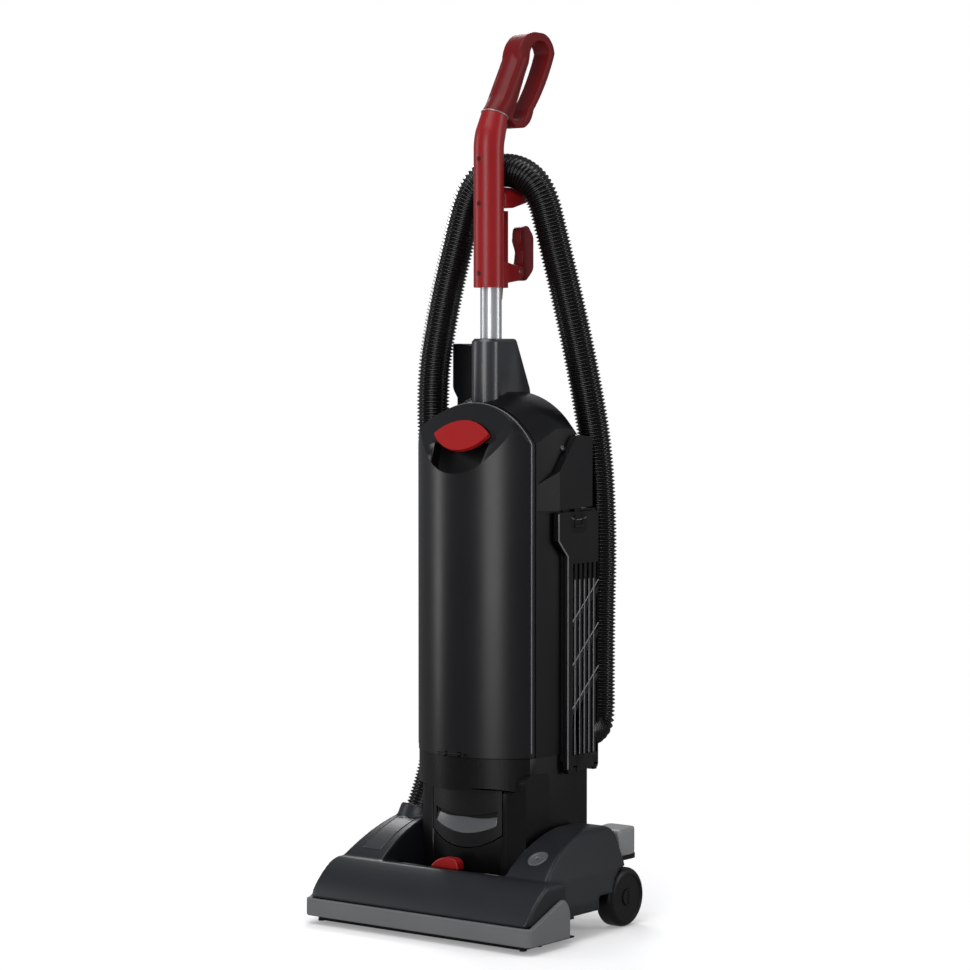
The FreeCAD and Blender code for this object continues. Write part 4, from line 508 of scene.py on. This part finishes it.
def newTree(name, inputs):
    tree = bpy.data.node_groups.new(name, "GeometryNodeTree")
    tree.interface.new_socket("Geometry", in_out="INPUT", socket_type="NodeSocketGeometry")
    for label, kind in inputs.items():
        tree.interface.new_socket(label, in_out="INPUT", socket_type="NodeSocket" + kind)
    tree.interface.new_socket("Geometry", in_out="OUTPUT", socket_type="NodeSocketGeometry")
    return tree, tree.nodes.new("NodeGroupInput"), tree.nodes.new("NodeGroupOutput")


def finished(tree, group, result, output):
    real = newNode(tree, "GeometryNodeRealizeInstances", {"Geometry": result})
    paint = newNode(tree, "GeometryNodeSetMaterial", {
        "Geometry": (real, "Geometry"), "Material": (group, "Material"),
    })
    feed(tree, output, {"Geometry": (paint, "Geometry")})


def swept(tree, group, inputs, output):
    tube = newNode(tree, "GeometryNodeCurveToMesh", inputs)
    tube.inputs["Fill Caps"].default_value = True
    smooth = newNode(tree, "GeometryNodeSetShadeSmooth", {"Geometry": (tube, "Mesh")})
    finished(tree, group, (smooth, "Geometry"), output)


def grown(source, tree, values, name):
    modifier = source.modifiers.new(tree.name, "NODES")
    modifier.node_group = tree
    for item in tree.interface.items_tree:
        if item.item_type == "SOCKET" and item.in_out == "INPUT" and item.name in values:
            modifier[item.identifier] = values[item.name]
    mesh = meshOf(source, name)
    bpy.data.objects.remove(source)
    return link(name, mesh)


def ribTree():
    tree, group, output = newTree("hose_ribs", {
        "Ribs": "Int", "Rings": "Int", "Around": "Int", "Crest": "Float", "Root": "Float", "Material": "Material",
    })
    count = mathNode(tree, "MULTIPLY_ADD", (group, "Ribs"), (group, "Rings"), 1.0)
    spaced = newNode(tree, "GeometryNodeResampleCurve", {"Curve": (group, "Geometry"), "Count": (count, "Value")})
    index = tree.nodes.new("GeometryNodeInputIndex")
    turn = mathNode(tree, "DIVIDE", (index, "Index"), (group, "Rings"))
    share = mathNode(tree, "FRACT", (turn, "Value"))
    shifted = mathNode(tree, "SUBTRACT", (share, "Value"), 0.5)
    away = mathNode(tree, "ABSOLUTE", (shifted, "Value"))
    tooth = newNode(tree, "ShaderNodeMapRange", {
        "Value": (away, "Value"), "From Min": hose["valley"], "From Max": hose["ridge"],
        "To Min": (group, "Root"), "To Max": (group, "Crest"),
    })
    circle = newNode(tree, "GeometryNodeCurvePrimitiveCircle", {"Radius": 1.0, "Resolution": (group, "Around")})
    swept(tree, group, {
        "Curve": (spaced, "Curve"), "Profile Curve": (circle, "Curve"), "Scale": (tooth, "Result"),
    }, output)
    return tree


def ribbed(name, route, tree, crest):
    curve = routeCurve(name + "_route", route)
    line = [vertex.co.copy() for vertex in meshOf(curve, name + "_line").vertices]
    length = sum((b - a).length for a, b in zip(line, line[1:]))
    print(name, round(length, 4), "m")
    values = {
        "Ribs": round(length / hose["pitch"]), "Rings": hose["ringsInRib"], "Around": hose["around"],
        "Crest": crest, "Root": hose["root"], "Material": materials["black_hose"],
    }
    return grown(curve, tree, values, name), line


def makeHoses():
    tree = ribTree()
    tube, line = ribbed("long_hose", longRoute, tree, hose["crest"])
    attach(tube, "body")
    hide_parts("hose_long")
    short, line = ribbed("short_hose", footRoute, tree, hose["crest"])
    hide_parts("foot_hose")
    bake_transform(short)
    elbow, line = ribbed("elbow_ribs", elbowRoute, tree, hose["elbowCrest"])
    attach(elbow, "body")
    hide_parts("hose_cuff", "port_elbow")


# Round lines: thin beads swept along a path

LINE_AROUND = 10


def tubeTree():
    tree, group, output = newTree("round_line", {"Radius": "Float", "Around": "Int", "Material": "Material"})
    circle = newNode(tree, "GeometryNodeCurvePrimitiveCircle", {
        "Resolution": (group, "Around"), "Radius": (group, "Radius"),
    })
    swept(tree, group, {"Curve": (group, "Geometry"), "Profile Curve": (circle, "Curve")}, output)
    return tree


def roundLine(name, paths, radius, material, body, closed=False):
    data = bpy.data.curves.new(name, "CURVE")
    data.dimensions = "3D"
    for points in paths:
        spline = data.splines.new("POLY")
        spline.points.add(len(points) - 1)
        for spot, point in zip(points, spline.points):
            point.co = (*spot, 1.0)
        spline.use_cyclic_u = closed
    curve = link(name + "_path", data)
    values = {"Radius": radius, "Around": LINE_AROUND, "Material": materials[material]}
    return placed(grown(curve, lineTree, values, name), body)


# Bead on the rim of the front cover, light grey: a painted highlight along the rim's edge

rim = {
    "half": 95.5,
    "out": 0.2,
    "low": 240.0,
    "straightTop": 648.0,
    "arcRadius": 111.45,
    "arcCentre": 594.55,
    "arcSteps": 48,
    "y": -22.6,
    "bead": 0.0012,
}


def makeRim():
    side = rim["half"] + rim["out"]
    reach = math.asin(rim["half"] / rim["arcRadius"])
    points = [at(side, rim["y"], rim["low"]), at(side, rim["y"], rim["straightTop"])]
    for i in range(rim["arcSteps"] + 1):
        turn = reach - 2 * reach * i / rim["arcSteps"]
        points.append(at(rim["arcRadius"] * math.sin(turn), rim["y"],
                         rim["arcCentre"] + rim["out"] + rim["arcRadius"] * math.cos(turn)))
    points += [at(-side, rim["y"], rim["straightTop"]), at(-side, rim["y"], rim["low"])]
    roundLine("cover_rim_highlight", [points], rim["bead"], "cover_rim_highlight", "cover")


# Bright seam between the stem and the grip

seam = {
    "y": 22.2,
    "z": 1094.8,
    "lean": 20.0,
    "halfX": 17.7,
    "halfY": 19.2,
    "steps": 40,
    "bead": 0.0009,
}


def makeSeam():
    lean = math.radians(seam["lean"])
    points = []
    for i in range(seam["steps"]):
        turn = 2 * math.pi * i / seam["steps"]
        along = seam["halfY"] * math.sin(turn)
        points.append(at(seam["halfX"] * math.cos(turn), seam["y"] + along * math.cos(lean),
                         seam["z"] - along * math.sin(lean)))
    roundLine("handle_seam", [points], seam["bead"], "seam_silver", "body", closed=True)


# Foot cover: room beside the slider's neck all along its slot

slideRoom = {
    "y": -72.0,
    "half": 3.4,
    "widest": 4.0,
    "endFrom": 43.4,
    "end": 46.6,
    "over": 70.0,
}


def clearSlot(mesh):
    for vertex in mesh.vertices:
        x, y, z = drawn(vertex.co)
        across = y - slideRoom["y"]
        if z < slideRoom["over"] or abs(across) > slideRoom["widest"]:
            continue
        if slideRoom["endFrom"] < abs(x) < slideRoom["end"]:
            vertex.co.x = math.copysign(slideRoom["end"], x) * MM
        elif abs(x) < slideRoom["end"] and abs(across) < slideRoom["half"]:
            vertex.co.y += (math.copysign(slideRoom["half"], across) - across) * MM


# Foot: bare label field, plain round badge and the marks at the ends of the height slider's travel

footMarks = {
    "above": 300.0,
    "left": -150.0,
    "right": -117.0,
    "front": -80.0,
    "back": -8.0,
    "lean": 4.0,
    "long": 24,
    "wide": 12,
    "lift": 0.35,
    "badge": (135.5, -61.5),
    "badgeRadius": 14.0,
    "badgeDeep": 0.93,
    "badgeAround": 40,
    "badgeRings": ((0.02, 0.45), (0.5, 0.45), (0.70, 0.45), (0.74, 0.8), (0.80, 0.95), (0.94, 0.95), (1.0, 0.4)),
    "thick": 0.0006,
    "weld": 0.00001,
}
ticks = {
    "low": {"x": -71.0, "tall": 1.6},
    "high": {"x": 69.0, "tall": 3.6},
    "y": -73.5,
    "first": -9,
    "step": 6,
    "count": 4,
    "half": 0.7,
    "lineHalf": 12,
    "lineFront": -2.4,
    "lineBack": -1.2,
    "lift": 0.15,
    "thick": 0.0003,
}


def treeOf(mesh):
    return BVHTree.FromPolygons([v.co.copy() for v in mesh.vertices], [tuple(f.vertices) for f in mesh.polygons])


def laidOn(name, tree, rows, thick, material):
    spots = []
    for row in rows:
        spots.append([])
        for x, y, lift in row:
            hit = tree.ray_cast(at(x, y, footMarks["above"]), Vector((0, 0, -1)))
            spots[-1].append(hit[0] + hit[1] * lift * MM)
    mesh = sheetOf(name, spots, materials[material])
    build = bmesh.new()
    build.from_mesh(mesh)
    bmesh.ops.remove_doubles(build, verts=build.verts, dist=footMarks["weld"])
    bmesh.ops.recalc_face_normals(build, faces=build.faces)
    if sum(face.normal.z for face in build.faces) < 0:
        bmesh.ops.reverse_faces(build, faces=build.faces)
    build.to_mesh(mesh)
    build.free()
    placed(thickened(name, mesh, thick), "foot")


def makeTick(name, tree, left, right, front, back):
    rows = [[(x, y, ticks["lift"]) for x in (left, right)] for y in (front, back)]
    laidOn(name, tree, rows, ticks["thick"], "mark_print")


def makeFootMarks():
    tree = treeOf(bpy.data.objects["foot_cover_moulded"].data)
    rows = []
    for i in range(footMarks["long"] + 1):
        share = i / footMarks["long"]
        left = footMarks["left"] + footMarks["lean"] * share
        wide = footMarks["right"] - footMarks["left"]
        y = footMarks["front"] + (footMarks["back"] - footMarks["front"]) * share
        steps = range(footMarks["wide"] + 1)
        rows.append([(left + wide * k / footMarks["wide"], y, footMarks["lift"]) for k in steps])
    laidOn("arm_label", tree, rows, footMarks["thick"], "label_bare")
    rows = []
    for share, lift in footMarks["badgeRings"]:
        row = []
        for k in range(footMarks["badgeAround"] + 1):
            turn = 2 * math.pi * k / footMarks["badgeAround"]
            reach = footMarks["badgeRadius"] * share
            row.append((footMarks["badge"][0] + reach * math.cos(turn),
                        footMarks["badge"][1] + footMarks["badgeDeep"] * reach * math.sin(turn), lift))
        rows.append(row)
    laidOn("arm_badge", tree, rows, footMarks["thick"], "badge_ring")
    y = ticks["y"]
    for name in ("low", "high"):
        middle = ticks[name]["x"]
        for k in range(ticks["count"]):
            x = middle + ticks["first"] + ticks["step"] * k
            makeTick("mark_%s_%d" % (name, k), tree, x - ticks["half"], x + ticks["half"],
                     y, y + ticks[name]["tall"])
        makeTick("mark_%s_line" % name, tree, middle - ticks["lineHalf"], middle + ticks["lineHalf"],
                 y + ticks["lineFront"], y + ticks["lineBack"])


# Wheel caps: a dark sheet over the upright slot on each, as painted shade in it

capSlot = {
    "z": 0.040,
    "half": 0.0062,
    "round": 0.0026,
    "out": 0.00012,
    "thick": 0.0003,
    "around": 20,
}


def makeCapSlots():
    caps = [vertex.co for vertex in frame["nodes"]["wheel_caps"].data.vertices]
    middle = sum(spot.y for spot in caps) / len(caps)
    face = max(spot.x for spot in caps) + capSlot["out"]
    for side, name in ((1, "cap_slot_shade_right"), (-1, "cap_slot_shade_left")):
        points = []
        for k in range(capSlot["around"]):
            turn = 2 * math.pi * k / capSlot["around"]
            end = capSlot["half"] if k < capSlot["around"] // 2 else -capSlot["half"]
            points.append(Vector((side * face, middle + capSlot["round"] * math.cos(turn),
                                  capSlot["z"] + capSlot["round"] * math.sin(turn) + end)))
        shadeSheet(name, points, capSlot["thick"], "foot")


# Finger band of the prefilter cover: a hollow between a lower and an upper curve, its light grey a painted
# highlight for the light it catches from above

band = {
    "half": 51.0,
    "lowMiddle": 128.5,
    "lowEnd": 141.0,
    "highMiddle": 152.0,
    "highEnd": 159.5,
    "deep": 4.9,
    "hollow": 0.85,
    "frontRadius": 164.5,
    "front": -48.85,
    "up": 14,
    "across": 40,
    "thick": 0.0004,
}


def makeBand():
    rows = []
    for i in range(band["up"] + 1):
        share = i / band["up"]
        inward = band["deep"] * math.sin(math.pi / 2 * share) ** band["hollow"]
        row = []
        for k in range(band["across"] + 1):
            x = -band["half"] + 2 * band["half"] * k / band["across"]
            bow = (x / band["half"]) ** 2
            low = band["lowMiddle"] + (band["lowEnd"] - band["lowMiddle"]) * bow
            high = band["highMiddle"] + (band["highEnd"] - band["highMiddle"]) * bow
            y = band["front"] + x * x / (2 * band["frontRadius"]) + inward
            row.append(at(x, y, low + (high - low) * share))
        rows.append(row)
    mesh = sheetOf("finger_band", rows, materials["band_painted_light"])
    placed(thickened("finger_band", mesh, band["thick"]), "body")


# Bristles: each tuft of the brush is a bundle of thin cones that stands on the roller

bristles = {
    "axis": (-112.0, 33.5),
    "rootRadius": 14.6,
    "tipRadius": 29.3,
    "tuftWidth": 0.0042,
    "thick": 0.00032,
    "tipShare": 0.6,
    "sides": 4,
    "acrossTuft": 4,
    "lean": 0.10,
    "seed": 7,
}


def islandsOf(mesh):
    build = bmesh.new()
    build.from_mesh(mesh)
    bmesh.ops.remove_doubles(build, verts=build.verts, dist=edges["weld"])
    left = set(build.verts)
    groups = []
    while left:
        todo = [left.pop()]
        group = []
        while todo:
            vertex = todo.pop()
            group.append(vertex.co.copy())
            for edge in vertex.link_edges:
                other = edge.other_vert(vertex)
                if other in left:
                    left.remove(other)
                    todo.append(other)
        groups.append(group)
    build.free()
    return groups


def tuftTree():
    tree, group, output = newTree("bristle_tufts", {
        "Length": "Float", "Thick": "Float", "Width": "Float", "Across": "Int", "Lean": "Float", "Seed": "Int",
        "Material": "Material",
    })
    grid = newNode(tree, "GeometryNodeMeshGrid", {
        "Size X": (group, "Width"), "Size Y": (group, "Width"),
        "Vertices X": (group, "Across"), "Vertices Y": (group, "Across"),
    })
    tip = mathNode(tree, "MULTIPLY", (group, "Thick"), bristles["tipShare"])
    hair = newNode(tree, "GeometryNodeMeshCone", {
        "Vertices": bristles["sides"], "Depth": (group, "Length"), "Radius Bottom": (group, "Thick"),
        "Radius Top": (tip, "Value"),
    })
    back = mathNode(tree, "MULTIPLY", (group, "Lean"), -1.0)
    spread = tree.nodes.new("FunctionNodeRandomValue")
    spread.data_type = "FLOAT_VECTOR"
    feed(tree, spread, {"Min": (back, "Value"), "Max": (group, "Lean"), "Seed": (group, "Seed")})
    bundle = newNode(tree, "GeometryNodeInstanceOnPoints", {
        "Points": (grid, "Mesh"), "Instance": (hair, "Mesh"), "Rotation": (spread, "Value"),
    })
    way = tree.nodes.new("GeometryNodeInputNamedAttribute")
    way.data_type = "FLOAT_VECTOR"
    feed(tree, way, {"Name": "way"})
    turn = tree.nodes.new("FunctionNodeAlignRotationToVector")
    turn.axis = "Z"
    feed(tree, turn, {"Vector": (way, "Attribute")})
    stand = newNode(tree, "GeometryNodeInstanceOnPoints", {
        "Points": (group, "Geometry"), "Instance": (bundle, "Instances"), "Rotation": (turn, "Rotation"),
    })
    finished(tree, group, (stand, "Instances"), output)
    return tree


def makeBristles():
    axisY, axisZ = bristles["axis"]
    spots = []
    ways = []
    for group in islandsOf(frame["nodes"]["brush_tufts"].data):
        middle = sum(group, Vector()) / len(group)
        centre = at(middle.x / MM, axisY, axisZ)
        way = (middle - centre).normalized()
        spots.append(centre + way * (bristles["rootRadius"] * MM))
        ways.append(way)
    mesh = bpy.data.meshes.new("tuft_points")
    mesh.from_pydata(spots, [], [])
    field = mesh.attributes.new("way", "FLOAT_VECTOR", "POINT")
    for item, way in zip(field.data, ways):
        item.vector = way
    values = {
        "Length": (bristles["tipRadius"] - bristles["rootRadius"]) * MM, "Thick": bristles["thick"],
        "Width": bristles["tuftWidth"], "Across": bristles["acrossTuft"], "Lean": bristles["lean"],
        "Seed": bristles["seed"], "Material": materials["bristle"],
    }
    piece = settled(grown(link("tuft_points", mesh), tuftTree(), values, "brush_bristles"), "brush_tufts")
    print("bristles", len(spots), "tufts", len(piece.data.polygons), "faces")


# Paper bag: the CAD form cut finer, with soft creases pressed in the same through both faces of its wall

bag = {
    "finest": 0.009,
    "cuts": 6,
    "crease": 0.0026,
    "core": 0.004,
    "top": 0.555,
    "fade": 0.03,
    "evenShare": 0.5,
    "foldWaves": (0.055, 2.2, 0.045, 0.11, 0.023),
    "foldShare": 0.38,
    "fineWaves": (0.31, 0.27, 0.24, 0.18),
    "fineShare": 0.12,
    "smooth": 50.0,
}


def creaseAt(spot):
    rise, sway, swayWave, across, slant = bag["foldWaves"]
    fold = math.sin(spot.z * rise + sway * math.sin(spot.x * swayWave))
    fold *= math.sin(spot.x * across + spot.z * slant)
    fineX, fineY, fineZ, fineDeep = bag["fineWaves"]
    fine = math.sin(spot.x * fineX + spot.y * fineY) * math.sin(spot.z * fineZ + spot.y * fineDeep)
    return bag["evenShare"] + bag["foldShare"] * fold + bag["fineShare"] * fine


def makeBag():
    mesh = welded("filter_bag")
    build = bmesh.new()
    build.from_mesh(mesh)
    bmesh.ops.triangulate(build, faces=build.faces)
    for i in range(bag["cuts"]):
        long = [edge for edge in build.edges if edge.calc_length() > bag["finest"]]
        if not long:
            break
        bmesh.ops.subdivide_edges(build, edges=long, cuts=1)
        bmesh.ops.triangulate(build, faces=[face for face in build.faces if len(face.verts) > 3])
    for vertex in build.verts:
        away = Vector((vertex.co.x, vertex.co.y, 0))
        if away.length < bag["core"]:
            continue
        ease = min(1.0, max(0.0, (bag["top"] - vertex.co.z) / bag["fade"]))
        vertex.co -= away.normalized() * creaseAt(vertex.co / MM) * bag["crease"] * ease
    build.to_mesh(mesh)
    build.free()
    smoothed(mesh, bag["smooth"])
    mesh.materials.append(materials["bag_paper"])
    settled(link("paper_bag", mesh), "filter_bag")
    print("paper bag", len(mesh.polygons), "faces")


# Front cover: the scoop behind its latch, painted black as painted shade in its hollow

scoop = {
    "y": -46.7,
    "z": 660.6,
    "slope": (0.4477, 0.8942),
    "half": 47.5,
    "low": -56,
    "high": 23,
    "deep": -0.25,
    "front": -24.5,
}


# Faces of the cover's scoop, which are painted black as painted shade
def inScoopShade(spot, normal):
    x, y, z = drawn(spot)
    run, rise = scoop["slope"]
    up = (y - scoop["y"]) * run + (z - scoop["z"]) * rise
    out = -(y - scoop["y"]) * rise + (z - scoop["z"]) * run
    inside = abs(x) < scoop["half"] and scoop["low"] < up < scoop["high"]
    return inside and out < scoop["deep"] and y < scoop["front"]


# Side door: painted shade, black in the rounded recess round its latch and on the walls of the grille slots;
# painted highlights, light lines on the recess lip, the door's edge and the grille bars

grille = {
    "x": 107.8,
    "edge": ((22.4, 558), (22.4, 522), (43.4, 500), (43.4, 213)),
    "edgeBead": 0.0011,
    "first": 59.5,
    "pitch": 10.8,
    "count": 5,
    "low": 231.0,
    "high": 468.0,
    "diagonals": (281.0, 340.0, 399.0),
    "diagonalY": 54,
    "diagonalStep": 6,
    "diagonalSteps": 10,
    "barHeight": 9.0,
    "barStart": 4,
    "slope": 0.9,
    "bead": 0.0009,
}
recess = {
    "x": 108.12,
    "middle": 68.0,
    "half": 18.5,
    "low": 531.0,
    "high": 559.5,
    "round": 9.0,
    "topRound": 2.0,
    "cornerSteps": 6,
    "thick": 0.0004,
    "lipHalf": 17.0,
    "lipZ": 549.0,
    "lipRise": 3.0,
    "lipSteps": 12,
    "lipBead": 0.0006,
}
# Faces of the side door painted black as painted shade: the walls of the grille slots and of the latch recess
doorFields = {
    "outside": 0.5,
    "grilleLow": 231,
    "grilleHigh": 489,
    "grilleFront": 53.5,
    "grilleBack": 116.5,
    "latchLow": 527,
    "latchFront": 49,
}


def inGrilleShade(spot, normal):
    x, y, z = drawn(spot)
    up = doorFields["grilleLow"] < z < doorFields["grilleHigh"]
    across = doorFields["grilleFront"] < y < doorFields["grilleBack"]
    return normal.x < doorFields["outside"] and up and across


def inLatchShade(spot, normal):
    x, y, z = drawn(spot)
    return normal.x < doorFields["outside"] and z > doorFields["latchLow"] and y > doorFields["latchFront"]


# A thin black sheet laid over a hollow as painted shade
def shadeSheet(name, points, thick, body):
    mesh = bpy.data.meshes.new(name)
    mesh.from_pydata(points, [], [tuple(range(len(points)))])
    mesh.materials.append(materials["black_and_painted_shade"])
    outward = mesh.polygons[0].normal.x * points[0].x > 0
    piece = placed(thickened(name, mesh, thick, -1.0 if outward else 1.0), body)
    build = bmesh.new()
    build.from_mesh(piece.data)
    bmesh.ops.recalc_face_normals(build, faces=build.faces)
    build.to_mesh(piece.data)
    build.free()


def makeRecess():
    inner = recess["half"] - recess["round"]
    top = recess["high"] - recess["topRound"]
    bottom = recess["low"] + recess["round"]
    points = []
    for across, up, first, high in (
        (inner, top, 0, recess["topRound"]), (-inner, top, 90, recess["topRound"]),
        (-inner, bottom, 180, recess["round"]), (inner, bottom, 270, recess["round"]),
    ):
        for k in range(recess["cornerSteps"] + 1):
            turn = math.radians(first + 90 * k / recess["cornerSteps"])
            points.append(at(recess["x"], recess["middle"] + across + recess["round"] * math.cos(turn),
                             up + high * math.sin(turn)))
    shadeSheet("latch_recess_shade", points, recess["thick"], "side_door")
    lip = []
    for k in range(recess["lipSteps"] + 1):
        share = -1 + 2 * k / recess["lipSteps"]
        lip.append(at(recess["x"], recess["middle"] + share * recess["lipHalf"],
                      recess["lipZ"] + recess["lipRise"] * share * share))
    edge = [at(grille["x"], y, z) for y, z in grille["edge"]]
    bars = []
    for k in range(grille["count"]):
        y = grille["first"] + k * grille["pitch"]
        bars.append([at(grille["x"], y, grille["low"]), at(grille["x"], y, grille["high"])])
    for start in grille["diagonals"]:
        bar = []
        for k in range(grille["diagonalSteps"] + 1):
            along = grille["diagonalStep"] * k
            rise = grille["barHeight"] + grille["slope"] * (grille["barStart"] + along)
            bar.append(at(grille["x"], grille["diagonalY"] + along, start + rise))
        bars.append(bar)
    # The door's edge, the grille bars and the latch lip get light lines: painted highlights
    roundLine("door_side_highlight", [edge], grille["edgeBead"], "door_painted_highlight", "side_door")
    roundLine("grille_bar_highlights", bars, grille["bead"], "door_painted_highlight", "side_door")
    roundLine("latch_lip_highlight", [lip], recess["lipBead"], "door_painted_highlight", "side_door")


# Body screws: those in the stem are red

STEM_SCREWS_OVER = 0.85


def inStem(spot, normal):
    return spot.z > STEM_SCREWS_OVER


makeCamera()
makeLight()
makeFloor()
print("camera, light and floor made")
makeHoses()
print("hoses made")
lineTree = tubeTree()
makeRim()
makeSeam()
hood = moulded("foot_cover", **hoodMoulding)
clearSlot(hood.data)
print("hood", len(hood.data.polygons), "faces")
makeFootMarks()
makeRecess()
makeCapSlots()
makeBand()
makeBristles()
makeBag()
print("lines, marks, band, bristles and bag made")
for nodeName, moulding in mouldings.items():
    moulded(nodeName, **moulding)
print("moulded pieces made")
special = {
    "prefilter_cover": {"drum": (at(0, 115.5, 0), 0.1645)},
    # The front cover's scoop is painted black: painted shade in its hollow
    "front_cover": {
        "zones": [(materials["black_and_painted_shade"], inScoopShade)], "drum": (at(0, 49.52, 0), 0.12052), "bevel": 0.0008,
    },
    "bumper": {"bevel": 0.0020, "segments": 4},
    # The side door's grille slots and latch recess are painted black as painted shade, and its bevels get painted
    # highlights
    "filter_door": {
        "zones": [(materials["black_and_painted_shade"], inGrilleShade), (materials["black_and_painted_shade"], inLatchShade)],
        "highlightBevel": materials["door_painted_highlight"], "bevel": 0.0008,
    },
    "wheel_caps": {"bevel": 0.0003, "material": materials["wheel_plastic"]},
    "side_fairing": {"bevel": 0.0014, "segments": 3},
    "cover_latch": {"bevel": 0.0016, "segments": 4},
    "duct_cover": {"bevel": 0.0014, "segments": 3},
    # The door latch is black, in the same black as the painted shade
    "door_latch": {"material": materials["black_and_painted_shade"]},
    "body_screws": {"zones": [(materials["stem_screw"], inStem)]},
}
madeAlready = {
    "hose_long", "foot_hose", "hose_cuff", "port_elbow", "brush_tufts", "filter_bag", "foot_cover", *mouldings,
}
for nodeName in sorted(slotOf):
    if nodeName not in madeAlready:
        dressed(nodeName, **special.get(nodeName, {}))
print("casings dressed")
scene.view_settings.view_transform = "Standard"
